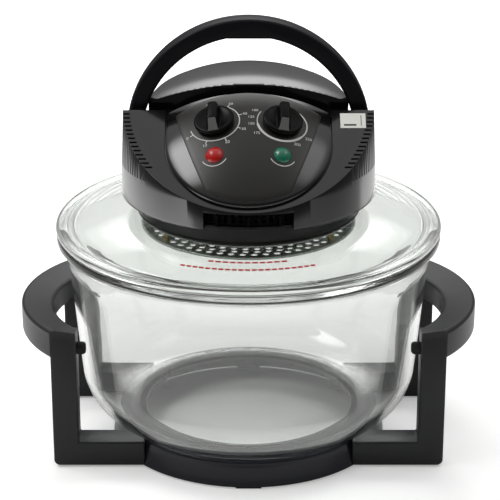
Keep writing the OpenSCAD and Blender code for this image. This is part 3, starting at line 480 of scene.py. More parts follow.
class Solid:
    """A closed mesh under construction, in millimetres. A change gives the solid itself back."""

    def __init__(self) -> None:
        """Starts empty."""
        self.bm = bmesh.new()

    @classmethod
    def lathe(
        cls, outline: Sequence[Point], steps: int = 128, start: float = 0.0, turn: float = 360.0
    ) -> "Solid":
        """Revolves an outline about Z.

        Args:
            outline: The closed outline of (radius, height) points, its radii at least 0.
            steps: Steps of the revolution.
            start: Angle from +X at which it starts.
            turn: How far it turns. A full turn is closed, a part turn gets flat ends.

        Returns:
            The revolved solid.
        """
        solid = cls()
        bm = solid.bm
        a = math.radians(start)
        verts = [bm.verts.new((r * math.cos(a), r * math.sin(a), z)) for r, z in outline]
        edges = [bm.edges.new((verts[i - 1], verts[i])) for i in range(len(verts))]
        full = turn >= 360
        ends = [] if full else [bm.faces.new(verts)]
        bmesh.ops.spin(
            bm, geom=[*ends, *verts, *edges], cent=(0, 0, 0), axis=(0, 0, 1), angle=math.radians(turn),
            steps=steps, use_merge=full, use_duplicate=False,
        )
        return solid.clean()

    @classmethod
    def prism(cls, outline: Sequence[Point], low: float, high: float) -> "Solid":
        """Extrudes an outline along Z.

        Args:
            outline: The closed outline of (x, y) points.
            low: Height of its lower face.
            high: Height of its upper face.

        Returns:
            The extruded solid.
        """
        solid = cls()
        bm = solid.bm
        base = bm.faces.new([bm.verts.new((x, y, low)) for x, y in outline])
        made = bmesh.ops.extrude_face_region(bm, geom=[base])["geom"]
        top = [v for v in made if isinstance(v, bmesh.types.BMVert)]
        bmesh.ops.translate(bm, verts=top, vec=(0, 0, high - low))
        return solid.clean()

    @classmethod
    def box(cls, low: Sequence[float], high: Sequence[float], edge: float = 0.0) -> "Solid":
        """Makes a block.

        Args:
            low: Its lowest corner.
            high: Its highest corner.
            edge: How much its edges are rounded.

        Returns:
            The block.
        """
        solid = cls()
        size = Vector(high) - Vector(low)
        place = Matrix.Translation((Vector(low) + Vector(high)) / 2) @ Matrix.Diagonal((*size, 1.0))
        bmesh.ops.create_cube(solid.bm, size=1.0, matrix=place)
        return solid.soften(edge) if edge else solid

    @classmethod
    def loops(cls, rings: Sequence[Sequence[Sequence[float]]], closed: bool = True) -> "Solid":
        """Joins rings of points, each as long as the others, into one skin.

        Args:
            rings: The rings in order, each a run of 3-D points.
            closed: True if each ring's last point joins its first.

        Returns:
            The skin, doubles merged, which is a solid once its ends meet or are filled.
        """
        solid = cls()
        bm = solid.bm
        made = [[bm.verts.new(p) for p in ring] for ring in rings]
        for one, two in zip(made, made[1:]):
            last = len(one) if closed else len(one) - 1
            for i in range(last):
                j = (i + 1) % len(one)
                bm.faces.new((one[i], one[j], two[j], two[i]))
        bmesh.ops.remove_doubles(bm, verts=bm.verts, dist=DOUBLES)
        return solid

    def clean(self) -> "Solid":
        """Merges doubles and points every face outwards.

        Returns:
            The solid itself.
        """
        bmesh.ops.remove_doubles(self.bm, verts=self.bm.verts, dist=DOUBLES)
        bmesh.ops.recalc_face_normals(self.bm, faces=self.bm.faces)
        return self

    def fill(self) -> "Solid":
        """Closes open loops with flat faces."""
        bmesh.ops.holes_fill(self.bm, edges=[e for e in self.bm.edges if e.is_boundary], sides=0)
        return self.clean()

    def soften(self, width: float, segments: int = 3, sharper_than: float = 30.0) -> "Solid":
        """Rounds the sharp edges.

        Args:
            width: How far the rounding reaches from an edge.
            segments: How many faces it has.
            sharper_than: Least turn at an edge that is rounded.

        Returns:
            The solid itself.
        """
        limit = math.radians(sharper_than)
        edges = [e for e in self.bm.edges if e.is_manifold and e.calc_face_angle(0.0) > limit]
        bmesh.ops.bevel(
            self.bm, geom=edges, offset=width, offset_type="OFFSET", affect="EDGES", segments=segments,
            profile=0.5, clamp_overlap=True, material=-1,
        )
        return self.clean()

    def slice(self, point: Sequence[float], normal: Sequence[float]) -> "Solid":
        """Cuts the solid at a plane and closes the cut.

        Args:
            point: A point on the plane.
            normal: Where the part lies that is taken away.

        Returns:
            The solid itself.
        """
        geom = [*self.bm.verts, *self.bm.edges, *self.bm.faces]
        bmesh.ops.bisect_plane(
            self.bm, geom=geom, dist=1e-5, plane_co=point, plane_no=normal, clear_outer=True
        )
        return self.fill()

    def moved(self, matrix: Matrix) -> "Solid":
        """Moves, turns or mirrors the whole mesh.

        Args:
            matrix: The move.

        Returns:
            The solid itself.
        """
        bmesh.ops.transform(self.bm, matrix=matrix, verts=self.bm.verts)
        if matrix.determinant() < 0:
            bmesh.ops.reverse_faces(self.bm, faces=self.bm.faces)
        return self

    def mirrored(self) -> "Solid":
        """A copy at the other side of the middle plane."""
        return self.copy().moved(Matrix.Diagonal((-1.0, 1.0, 1.0, 1.0)))

    def copy(self) -> "Solid":
        """Copies the solid.

        Returns:
            The copy, with a mesh of its own.
        """
        other = Solid()
        other.bm = self.bm.copy()
        return other

    def with_island(self, other: "Solid") -> "Solid":
        """Adds another closed mesh that stands apart from this one.

        Args:
            other: The mesh to add.

        Returns:
            The solid itself.
        """
        mesh = other.mesh("island")
        self.bm.from_mesh(mesh)
        bpy.data.meshes.remove(mesh)
        return self

    def mesh(self, name: str) -> bpy.types.Mesh:
        """Writes the form into a Blender mesh.

        Args:
            name: The mesh's name.

        Returns:
            The mesh, still in millimetres.
        """
        mesh = bpy.data.meshes.new(name)
        self.bm.to_mesh(mesh)
        return mesh

    def _combined(self, other: "Solid", operation: str) -> "Solid":
        """Runs Blender's exact boolean.

        Args:
            other: The form that changes this one.
            operation: UNION, DIFFERENCE or INTERSECT.

        Returns:
            A new solid.
        """
        one, two = (shown(name, form.mesh(name)) for name, form in (("one", self), ("two", other)))
        change = one.modifiers.new("change", "BOOLEAN")
        change.operation, change.object, change.solver = operation, two, "EXACT"
        seen = one.evaluated_get(bpy.context.evaluated_depsgraph_get())
        result = Solid()
        result.bm.from_mesh(seen.to_mesh())
        seen.to_mesh_clear()
        for obj in (one, two):
            data = obj.data
            bpy.data.objects.remove(obj)
            bpy.data.meshes.remove(data)
        bmesh.ops.remove_doubles(result.bm, verts=result.bm.verts, dist=DOUBLES)
        return result

    def united(self, other: "Solid") -> "Solid":
        """A new solid of this form and another."""
        return self._combined(other, "UNION")

    def without(self, other: "Solid") -> "Solid":
        """A new solid of this form less another."""
        return self._combined(other, "DIFFERENCE")

    def common(self, other: "Solid") -> "Solid":
        """A new solid of what this form and another share."""
        return self._combined(other, "INTERSECT")


@dataclass
class Maker:
    """Turns solids into pieces of the object that ride on CAD bodies."""

    made: list[str] = field(default_factory=list)

    def piece(
        self, name: str, solid: Solid, finish: Finish, body: str,
        replaces: Sequence[str] = (), crease: float = 32.0,
    ) -> None:
        """Makes one piece, its place in its mesh.

        Args:
            name: The piece's name.
            solid: Its form in millimetres.
            finish: Its material.
            body: The CAD body that it rides on.
            replaces: CAD nodes that it stands for.
            crease: Edges that turn more than this stay sharp.
        """
        bmesh.ops.scale(solid.bm, vec=(MM, MM, MM), verts=solid.bm.verts)
        limit = math.radians(crease)
        for edge in solid.bm.edges:
            edge.smooth = not edge.is_manifold or edge.calc_face_angle(0.0) < limit
        for face in solid.bm.faces:
            face.smooth = True
        mesh = solid.mesh(name)
        solid.bm.free()
        mesh.materials.append(finish.material())
        obj = shown(name, mesh)
        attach(obj, body)
        if replaces:
            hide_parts(*replaces)
        self.made.append(name)
        log.info("%s: %d faces, rides on %s", name, len(mesh.polygons), body)

    def dress(self, finish: Finish, *nodes: str) -> None:
        """Gives CAD nodes that stay in sight their finish.

        Args:
            finish: The material.
            nodes: The nodes' names.
        """
        for name in nodes:
            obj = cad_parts[name]
            obj.data.materials.clear()
            obj.data.materials.append(finish.material())
            log.info("%s: %s", name, finish.name)


@dataclass(frozen=True)
class Sizes:
    """Levels and radii at which the pieces meet."""

    # Legs and bars of the side frames
    leg_x: float = 146.96
    leg_w: float = 22.0
    leg_mid_y: float = 68.5
    leg_d: float = 25.0
    bar_h: float = 24.0
    foot: float = 1.5
    # The bowl's leaning wall
    bowl_mid_r: float = 151.0
    bowl_mid_z: float = 100.0
    bowl_draft: float = 4.9
    # The lid, with the dome that falls from its flat middle to its rim
    lid_top: float = 213.4
    lid_eye: float = 89.5
    lid_flat: float = 98.0
    lid_spread: float = 59.5
    lid_foot: float = 200.4
    lid_rise: float = 13.0
    # The outer shell: a drafted cone, cut by the front slope and the rear deck
    shell_z: float = 229.0
    shell_r: float = 110.0
    shell_draft: float = 3.0
    crest_h: float = 73.0
    crest_y: float = -8.0
    deck_z: float = 268.0
    slope: float = 28.8
    wall: float = 3.0
    # The control dome, its face part of a sphere, and what stands on it
    dome_r: float = 70.0
    dome_y: float = -44.4585
    face_r: float = 142.0
    face_rise: float = 22.0
    fascia_t: float = 0.6
    control_x: float = 28.0
    knob_v: float = 8.9636
    lens_v: float = -25.7364
    # The handle's pivots
    pivot_y: float = 10.0
    pivot_z: float = 279.5

    def slope_z(self, y: float) -> float:
        """Height of the front slope at y."""
        return self.shell_z + self.crest_h + (y - self.crest_y) * math.tan(math.radians(self.slope))

    def bowl_wall(self, z: float) -> float:
        """Outer radius of the bowl at height z."""
        return self.bowl_mid_r + (z - self.bowl_mid_z) * math.tan(math.radians(self.bowl_draft))

    def lid_face(self, share: float) -> float:
        """Height of the lid's top at a share of the way from its flat middle to its rim."""
        return self.lid_foot + self.lid_rise * math.cos(math.radians(90 * share))

    def on_slope(self) -> Matrix:
        """Frame of the front slope: X across, Y up the slope, Z away from it."""
        place = Matrix.Translation((0, self.dome_y, self.slope_z(self.dome_y)))
        return place @ turned(self.slope, "X")

    def face_height(self, x: float, v: float, lift: float = 0.0) -> float:
        """Height above the slope of the control dome's face, or of a skin that lies lift above it."""
        r = self.face_r + lift
        return math.sqrt(r * r - x * x - v * v) - (self.face_r - self.face_rise)

    def on_face(self, x: float, v: float, lift: float = 0.0) -> Matrix:
        """Frame that stands square on the control dome's face.

        Args:
            x: Its place across the slope.
            v: Its place up the slope.
            lift: How far it stands above the face.

        Returns:
            The frame.
        """
        turn = math.atan2(v, x)
        lean = math.asin(math.hypot(x, v) / self.face_r)
        return (
            self.on_slope()
            @ Matrix.Translation((0, 0, self.face_rise - self.face_r))
            @ Matrix.Rotation(turn, 4, "Z")
            @ Matrix.Rotation(lean, 4, "Y")
            @ Matrix.Translation((0, 0, self.face_r + lift))
            @ Matrix.Rotation(-turn, 4, "Z")
        )


@dataclass
class Stand:
    """Base ring, side frames with their grips, feet and buffers."""

    sizes: Sizes
    # The grip's arc: its middle and radius, then its width, foot and height, the fall of its top, and
    # half the angle it spans
    grip_x: float = 78.6415
    grip_r: float = 121.3226
    grip_band: float = 28.0
    grip_z: float = 103.0
    grip_h: float = 27.0
    grip_fall: float = 5.5
    grip_sweep: float = 60.0
    # Where the legs end inside the grip, the bars inside the ring, and the frame screws' bosses
    leg_top: float = 122.0
    bar_from: float = 90.0
    boss_x: float = 84.146

    def build(self, maker: Maker) -> None:
        """Makes the stand's own pieces.

        Args:
            maker: What turns them into pieces.
        """
        maker.piece("base_ring_look", self._ring(), RING_PLASTIC, "stand", ["base_ring"])
        right = self._side_frame()
        for name, form in (("left_side_frame", right.mirrored()), ("right_side_frame", right)):
            maker.piece(f"{name}_look", form, STAND_PLASTIC, "stand", [name])
        rest = self._rest()
        maker.piece("bowl_rest_look", rest, DARK_PLASTIC, "stand", ["bowl_rest"])

    def dress(self, maker: Maker) -> None:
        """Gives the CAD nodes that stay their finish."""
        maker.dress(RUBBER, "rubber_feet", "bowl_buffers")
        maker.dress(SCREW_STEEL, "frame_screws")

    def _ring(self) -> Solid:
        """Makes the gloss ring: a leaning wall with a rolled lip.

        Returns:
            Its solid.
        """
        outline = [
            (121.4, 1.5), (121.5, 2.2), (117.7, 19.8), *arc(113.8, 20.9, 3.6, 0, 90, 12), (112.0, 24.5),
            (111.4, 24.4), (107.5, 23.0), (110.1, 23.0), (113.5, 20.0), (118.5, 1.5),
        ]
        return Solid.lathe(outline, 144)

    def _rest(self) -> Solid:
        """Makes the flat annulus inside the ring, which the bowl's foot stands on.

        Returns:
            Its solid, with the four bosses of the frame screws.
        """
        outline = rounded([(92.0, 20.0, 0.6), (113.1, 20.0, 0.3), (109.5, 23.0, 0.3), (92.0, 23.0, 0.9)])
        solid = Solid.lathe(outline, 120)
        for sx in SIDES:
            for sy in SIDES:
                boss = Solid.lathe([(0, 15), (4.1, 15), (4.4, 15.3), (4.4, 20.5), (0, 20.5)], 32)
                place = Matrix.Translation((sx * self.boss_x, sy * self.sizes.leg_mid_y, 0))
                solid.with_island(boss.moved(place))
        return solid

    def _side_frame(self) -> Solid:
        """Makes the right frame: a curved grip on two legs, with bars that run in to the ring.

        Returns:
            Its solid, with the tongues that the frame screws hold.
        """
        s = self.sizes
        form = self._grip()
        for sy in SIDES:
            y0, y1 = sy * s.leg_mid_y - s.leg_d / 2, sy * s.leg_mid_y + s.leg_d / 2
            outer = s.leg_x + s.leg_w
            side = rounded([
                (self.bar_from, s.foot, 0), (outer, s.foot, 5.0), (outer, self.leg_top, 0),
                (s.leg_x, self.leg_top, 0), (s.leg_x, s.bar_h, 1.5), (self.bar_from, s.bar_h, 0),
            ], 12)
            leg = Solid.prism(side, y0, y1).soften(1.4)
            form = form.united(leg.moved(turned(90, "X") @ Matrix.Diagonal((1, 1, -1, 1))))
        ring_side = [(122.1, -2), (122.0, 1.5), (117.25, 24.5), (117.0, 27)]
        form = form.without(Solid.lathe([(0, -2), *ring_side, (0, 27)], 144))
        for sy in SIDES:
            mid = sy * s.leg_mid_y
            form.with_island(Solid.box((77.2, mid - 7.5, 5), (108.0, mid + 7.5, 15), 0.6))
        return form

    def _grip(self) -> Solid:
        """Makes the right grip: a band whose top falls inwards, cut flush with the legs.

        Returns:
            Its solid.
        """
        s = self.sizes
        inner = self.grip_r - self.grip_band
        low, top = self.grip_z, self.grip_z + self.grip_h
        section = rounded([
            (inner, low, 4.0), (self.grip_r, low, 4.0), (self.grip_r, top, 3.2),
            (inner + 3, top - 5.0, 3.0), (inner, top - self.grip_fall - 1.0, 5.0),
        ], 12)
        grip = Solid.lathe(section, 96, -self.grip_sweep, 2 * self.grip_sweep)
        grip.moved(Matrix.Translation((self.grip_x, 0, 0)))
        # The cuts lie a hair inside the legs, so that the union has no faces in one plane
        grip.slice((s.leg_x + 0.02, 0, 0), (-1, 0, 0))
        for sy in SIDES:
            grip.slice((0, sy * (s.leg_mid_y + s.leg_d / 2 - 0.02), 0), (0, sy, 0))
        return grip


@dataclass
class Glass:
    """The bowl and the lid."""

    sizes: Sizes
    bowl_foot: float = 23.0
    bowl_glass: float = 5.5
    heel_x: float = 98.5
    heel_r: float = 50.0
    lid_glass: float = 5.0
    # How far the lid's underside spreads from its flat middle
    lid_under: float = 53.4

    def build(self, maker: Maker) -> None:
        """Makes the bowl and the lid as smooth revolved glass.

        Args:
            maker: What turns them into pieces.
        """
        bowl, lid = self._bowl(), self._lid()
        maker.piece("glass_bowl_look", bowl, BOWL_GLASS, "bowl", ["glass_bowl"], crease=50)
        maker.piece("glass_lid_look", lid, LID_GLASS, "lid", ["glass_lid"], crease=50)

    def _bowl(self) -> Solid:
        """Makes the bowl: flat foot, round heel, leaning wall, flared rim with a flange.

        Returns:
            Its solid.
        """
        wall, lean = self.sizes.bowl_wall, self.sizes.bowl_draft
        levels = (100, 120, 140, 155)
        heel_z, floor = self.bowl_foot + self.heel_r, self.bowl_foot + self.bowl_glass
        outline = [(0.0, self.bowl_foot), (60.0, self.bowl_foot)]
        outline += arc(self.heel_x, heel_z, self.heel_r, -90, -lean, 4)
        outline += [(wall(z), z) for z in levels]
        outline += [(156.57, 165.0), (157.5, 171.5), (159.2, 177.0), (161.3, 181.5), (163.0, 185.0)]
        outline += [*arc(164.5, 189.5, 2.5, -60, 0, 15), *arc(164.0, 192.0, 3.0, 0, 90, 15)]
        outline += rounded([
            (160.0, 195.0, 0), (158.4, 195.0, 0.6), (158.4, 191.5, 0.6), (156.6, 189.0, 0),
        ])
        outline += [(155.0, 187.0), (153.6, 182.5), (152.3, 175.0), (151.1, 165.0)]
        outline += [(wall(z) - self.bowl_glass, z) for z in reversed(levels)]
        outline += arc(self.heel_x, heel_z, self.heel_r - self.bowl_glass, -lean, -90, 4)
        outline += [(60.0, floor), (0.0, floor)]
        return Solid.lathe(outline, 180)

    def _lid(self) -> Solid:
        """Makes the lid: a thick rolled rim, a low dome and a round hole in the middle.

        Returns:
            Its solid.
        """
        s = self.sizes
        shares = [i / 12 for i in range(13)]
        top = [(s.lid_flat + s.lid_spread * t, s.lid_face(t)) for t in shares]
        under = [(s.lid_flat + self.lid_under * t, s.lid_face(t) - self.lid_glass) for t in shares[:-1]]
        below = s.lid_top - self.lid_glass
        outline = rounded([
            (94.0, below, 0), (s.lid_eye, below, 1.4), (s.lid_eye, s.lid_top, 1.4), (94.0, s.lid_top, 0),
        ])
        outline += top
        outline += [(158.8, 201.1), *arc(164.3, 198.3, 3.1, 90, -90, 12)]
        outline += rounded([
            (158.5, 195.2, 0), (157.4, 195.2, 0.4), (157.4, 192.4, 0.8), (153.4, 192.4, 0.8),
            (152.6, 194.2, 0),
        ])
        outline += reversed(under)
        return Solid.lathe(outline, 180)


@dataclass
class Housing:
    """Gasket, collar, outer shell, control dome, fascia and rear cover."""

    sizes: Sizes
    boss_x: float = 82.9
    gap: float = 0.3
    # Louvres of each wing, from the first one's place towards the front
    louvres: int = 14
    louvre_y: float = -12.0
    louvre_pitch: float = 4.1
    louvre_half: float = 0.9
    # The dome's skirt, its length up the slope, and the rounding of its rim
    dome_skirt: float = 3.6
    dome_run: float = 70.0
    dome_rim: float = 5.0
    dome_lean: float = 60.0
    # The fascia, whose outline is cut by two large circles at its sides and one at its top
    fascia_margin: float = 3.5
    fascia_edge: float = 0.35
    fascia_rings: int = 14
    flank_x: float = 312.0
    flank_v: float = 99.0
    flank_r: float = 380.0
    brow_v: float = -62.0
    brow_r: float = 110.0
    cover_r: float = 86.0

    def build(self, maker: Maker) -> None:
        """Makes the smooth outer pieces of the head.

        Args:
            maker: What turns them into pieces.
        """
        for name, solid, finish, slot, crease in (
            ("lid_gasket", self._gasket(), SILICONE, "silicone", 32),
            # The collar's colour is partly painted shade under the shell
            ("collar", self._collar(), PHENOLIC_AND_SHADE, "collar_plastic", 32),
            ("outer_shell", self._shell(), HOUSING, "housing_plastic", 28),
            ("control_dome", self._dome(), HOUSING, "housing_plastic", 40),
            ("panel_fascia", self._fascia(), FASCIA_FILM, "fascia_print", 32),
            ("rear_cover", self._cover(), HOUSING, "housing_plastic", 28),
        ):
            maker.piece(f"{name}_look", solid, finish, "lid", [name], crease=crease)

    def dress(self, maker: Maker) -> None:
        """Gives the CAD nodes that stay their finish.

        Args:
            maker: What finishes them.
        """
        # The vent's near-black colour is painted shade of the dark opening
        maker.dress(VENT_SHADED_PLASTIC, "front_vent")
        maker.dress(DARK_PLASTIC, "cord_gland", "micro_switch")
        maker.dress(SCREW_STEEL, "housing_screws", "handle_pins")

    def _gasket(self) -> Solid:
        """Makes the flat gasket between the lid and the collar.

        Returns:
            Its solid.
        """
        low, top = self.sizes.lid_top, 215.7
        section = [(90.5, low, 0.4), (96.6, low, 0.4), (96.6, top, 0.8), (90.5, top, 0.8)]
        return Solid.lathe(rounded(section), 120)

    def _collar(self) -> Solid:
        """Makes the collar between the lid and the shell.

        Returns:
            Its solid, with the bosses of the plate screws.
        """
        outline = rounded([
            (88.5, 215.7, 0.5), (97.0, 215.7, 1.2), (101.0, 228.4, 1.5), (101.0, 230.0, 0.3),
            (106.5, 230.0, 0.5), (106.5, 233.0, 0.8), (82.5, 233.0, 0.5), (82.5, 230.0, 0.3),
            (98.0, 230.0, 0.5), (94.0, 218.7, 0.5), (88.5, 218.7, 0.5),
        ])
        solid = Solid.lathe(outline, 144)
        for k in range(4):
            section = [(2.05, 213.6), (4.0, 213.6), (4.2, 213.9), (4.2, 232.4), (2.05, 232.4)]
            boss = Solid.lathe(section, 32)
            solid.with_island(boss.moved(turned(90 * k, "Z") @ Matrix.Translation((self.boss_x, 0, 0))))
        return solid

    def _shell_form(self, inset: float, drop: float) -> Solid:
        """Makes the shell's form: a cone cut by the front slope and the rear deck.

        Args:
            inset: How far it is set in from the shell's outside.
            drop: How far its foot is lowered.

        Returns:
            The form, filled.
        """
        s = self.sizes
        over_crest = s.crest_h + 2
        foot, top = s.shell_z - drop, s.shell_z + over_crest
        lean = s.shell_draft * over_crest / s.crest_h
        edge = 0.0 if drop else 1.2
        side = [
            (s.shell_r - inset - s.shell_draft * rise / s.crest_h, s.shell_z + rise, 0)
            for rise in (3.0, 6.0, 24.0)
        ]
        outline = rounded([
            (0, foot, 0), (s.shell_r - inset, foot, edge), *side, (s.shell_r - lean - inset, top, 0),
            (0, top, 0),
        ])
        cone = Solid.lathe(outline, 400)
        over = inset / math.cos(math.radians(s.slope))
        y, far = s.crest_y - inset, 160.0
        away = [
            (-far, s.slope_z(-far) - over), (y, s.slope_z(y) - over), (y, s.deck_z - inset),
            (far, s.deck_z - inset), (far, 420.0), (-far, 420.0),
        ]
        return cone.without(Solid.prism(away, -far, far).moved(ALONG_X))

    def _shell(self) -> Solid:
        """Makes the outer shell: wings with louvres, vent and an opening for the control dome.

        Returns:
            Its solid.
        """
        s = self.sizes
        form = self._shell_form(0.0, 0.0).soften(1.1, 3, 22)
        form = form.without(self._shell_form(s.wall, 1.0))
        form = form.without(self._dome_prism(self.gap))
        # The crest and the deck are open where the rear cover stands on them
        form = form.without(Solid.box((-62, -14, 262), (62, -5, 330)))
        rear = Solid.lathe([(0, 258), (83, 258), (83, 330), (0, 330)], 96)
        rear.slice((0, -7.5, 0), (0, -1, 0))
        form = form.without(rear).without(self._louvres())
        # The vent is a notch that reaches the shell's foot
        return form.without(Solid.box((-37, -112, 227), (37, -97, 244.5)))

    def _louvres(self) -> Solid:
        """Makes the cutters of the louvres in both wings.

        Returns:
            The cutters as one solid.
        """
        s = self.sizes
        slots = Solid()
        for i in range(self.louvres):
            y = self.louvre_y - self.louvre_pitch * i
            x = math.sqrt((s.shell_r - 1.1) ** 2 - y * y)
            for side in SIDES:
                low, high = sorted((side * (x - 7.5), side * (x + 12.5)))
                front, back = y - self.louvre_half, y + self.louvre_half
                slots.with_island(Solid.box((low, front, 256 + 0.2 * i), (high, back, 316)))
        return slots

    def _dome_prism(self, grow: float) -> Solid:
        """Makes the room that the control dome takes in the slope.

        Args:
            grow: How much wider it is than the dome, all round.

        Returns:
            The room as a solid.
        """
        r = self.sizes.dome_r + grow
        outline = [*arc(0, 0, r, 180, 360, 4), (r, self.dome_run), (-r, self.dome_run)]
        return Solid.prism(outline, -7.6, 32.4).moved(self.sizes.on_slope())

    def _dome(self) -> Solid:
        """Makes the control dome: a round-fronted block whose face is part of a sphere.

        Returns:
            Its solid.
        """
        s = self.sizes
        r, run, rim, lean = s.dome_r, self.dome_run, self.dome_rim, math.radians(self.dome_lean)
        # The outline up one side, round the front and up the other: place and outward normal
        path = [(-r, run - run * k / 18, -1.0, 0.0) for k in range(18)]
        path += [(x, v, x / r, v / r) for x, v in arc(0, 0, r, 180, 360, 3)]
        path += [(r, run * k / 18, 1.0, 0.0) for k in range(1, 19)]
        low = [(x, v, -self.dome_skirt) for x, v, _, _ in path]
        rings = [[(0.0, max(v, 0.0), z) for _, v, z in low], low]
        inner_d = rim * (1 - math.cos(lean))
        ends = [(x - nx * inner_d, v - nv * inner_d) for x, v, nx, nv in path]
        base = [s.face_height(x, v) - rim * math.sin(lean) for x, v in ends]
        for k in range(8):
            a = math.radians(self.dome_lean * k / 7)
            d = rim * (1 - math.cos(a))
            rings.append([
                (x - nx * d, v - nv * d, b + rim * math.sin(a)) for (x, v, nx, nv), b in zip(path, base)
            ])
        steps = 14
        for k in range(1, steps + 1):
            t = 1 - k / steps
            ring = []
            for (x, v), (_, pv, _, _) in zip(ends, path):
                spine = max(pv, 0.0)
                px, py = x * t, spine + (v - spine) * t
                ring.append((px, py, s.face_height(px, py)))
            rings.append(ring)
        solid = Solid.loops(rings, closed=False).clean().moved(s.on_slope())
        return solid.slice((0, s.crest_y - 1.0, 0), (0, 1, 0))

    def _on_fascia(self, x: float, v: float) -> bool:
        """Says whether a place on the slope lies in the fascia's shield-shaped outline.

        Args:
            x: The place across the slope.
            v: The place up the slope.

        Returns:
            True if it does.
        """
        edge = self.sizes.dome_r - self.fascia_margin
        if (v < 0 and math.hypot(x, v) > edge) or abs(x) > edge:
            return False
        if any(math.hypot(x - side * self.flank_x, v - self.flank_v) > self.flank_r for side in SIDES):
            return False
        return math.hypot(x, v - self.brow_v) <= self.brow_r

    def _fascia_reach(self, turn: float) -> float:
        """Finds how far the fascia's outline lies from the dome's middle.

        Args:
            turn: The direction in radians.

        Returns:
            The distance.
        """
        low, high = 0.0, 120.0
        # Each step halves the range, so 40 leave nothing that counts
        for _ in range(40):
            mid = (low + high) / 2
            inside = self._on_fascia(mid * math.cos(turn), mid * math.sin(turn))
            low, high = (mid, high) if inside else (low, mid)
        return low

    def _fascia(self) -> Solid:
        """Makes the printed panel: a thin shield-shaped skin on the dome's face.

        Returns:
            Its solid.
        """
        s, edge, last = self.sizes, self.fascia_edge, self.fascia_rings
        turns = [2 * math.pi * k / 240 for k in range(240)]
        reach = [self._fascia_reach(t) for t in turns]
        # Share of the outline, how far inside that, and height on the face: under, round the edge, over
        stations = [(k / last, 0.0, 0.0) for k in range(last + 1)]
        stations += [(1.0, 0.0, s.fascia_t - edge), (1.0, edge * 0.3, s.fascia_t - edge * 0.3)]
        stations += [(k / last, edge if k == last else 0.0, s.fascia_t) for k in range(last, -1, -1)]
        rings = []
        for share, less, lift in stations:
            ring = []
            for t, r in zip(turns, reach):
                x, v = math.cos(t) * (r * share - less), math.sin(t) * (r * share - less)
                ring.append((x, v, s.face_height(x, v, lift)))
            rings.append(ring)
        return Solid.loops(rings).clean().moved(s.on_slope())

    def _cover(self) -> Solid:
        """Makes the rear cover: a round drum with a crowned top and a lower step in front.

        Returns:
            Its solid, with the bosses that the handle turns on.
        """
        s = self.sizes
        flank = [(self.cover_r, s.deck_z), *arc(72.0, 305.0, 14.0, 0, 60, 6), (60, 345)]
        drum = Solid.lathe([(0, s.deck_z), *flank, (0, 345)], 160)
        crown = Solid.lathe([(0, 120), *arc(0, 80, 243, 14, 90, 1)], 320)
        crown.moved(Matrix.Translation((0, 48, 0)))
        back = drum.copy().common(crown).slice((0, 8.0, 0), (0, -1, 0)).soften(1.2, 3, 35)
        step = drum.slice((0, -7.6, 0), (0, -1, 0)).slice((0, 9.0, 0), (0, 1, 0))
        step = step.slice((0, 0, s.shell_z + s.crest_h - 6), (0, 0, 1)).soften(1.2, 3, 35)
        form = back.united(step)
        for side in SIDES:
            boss = Solid.lathe(rounded([(0, 78, 0), (8, 78, 0), (8, 89.6, 0.8), (0, 89.6, 0)]), 48)
            place = Matrix.Translation((0, s.pivot_y, s.pivot_z)) @ turned(90 * side, "Y")
            form = form.united(boss.moved(place))
        # Nine upright slots let the air out at the rear
        slots = Solid()
        for i in range(-4, 5):
            slots.with_island(Solid.box((9 * i - 1.5, 80, 275), (9 * i + 1.5, 120, 289)))
        # The room inside, which is open below
        room = Solid.lathe([(0, 260), (83, 260), (83, 296), (74, 300), (0, 300)], 96)
        room.slice((0, -4.6, 0), (0, -1, 0)).slice((0, 0, 293), (0, 0, 1))
        return form.without(room).without(slots)


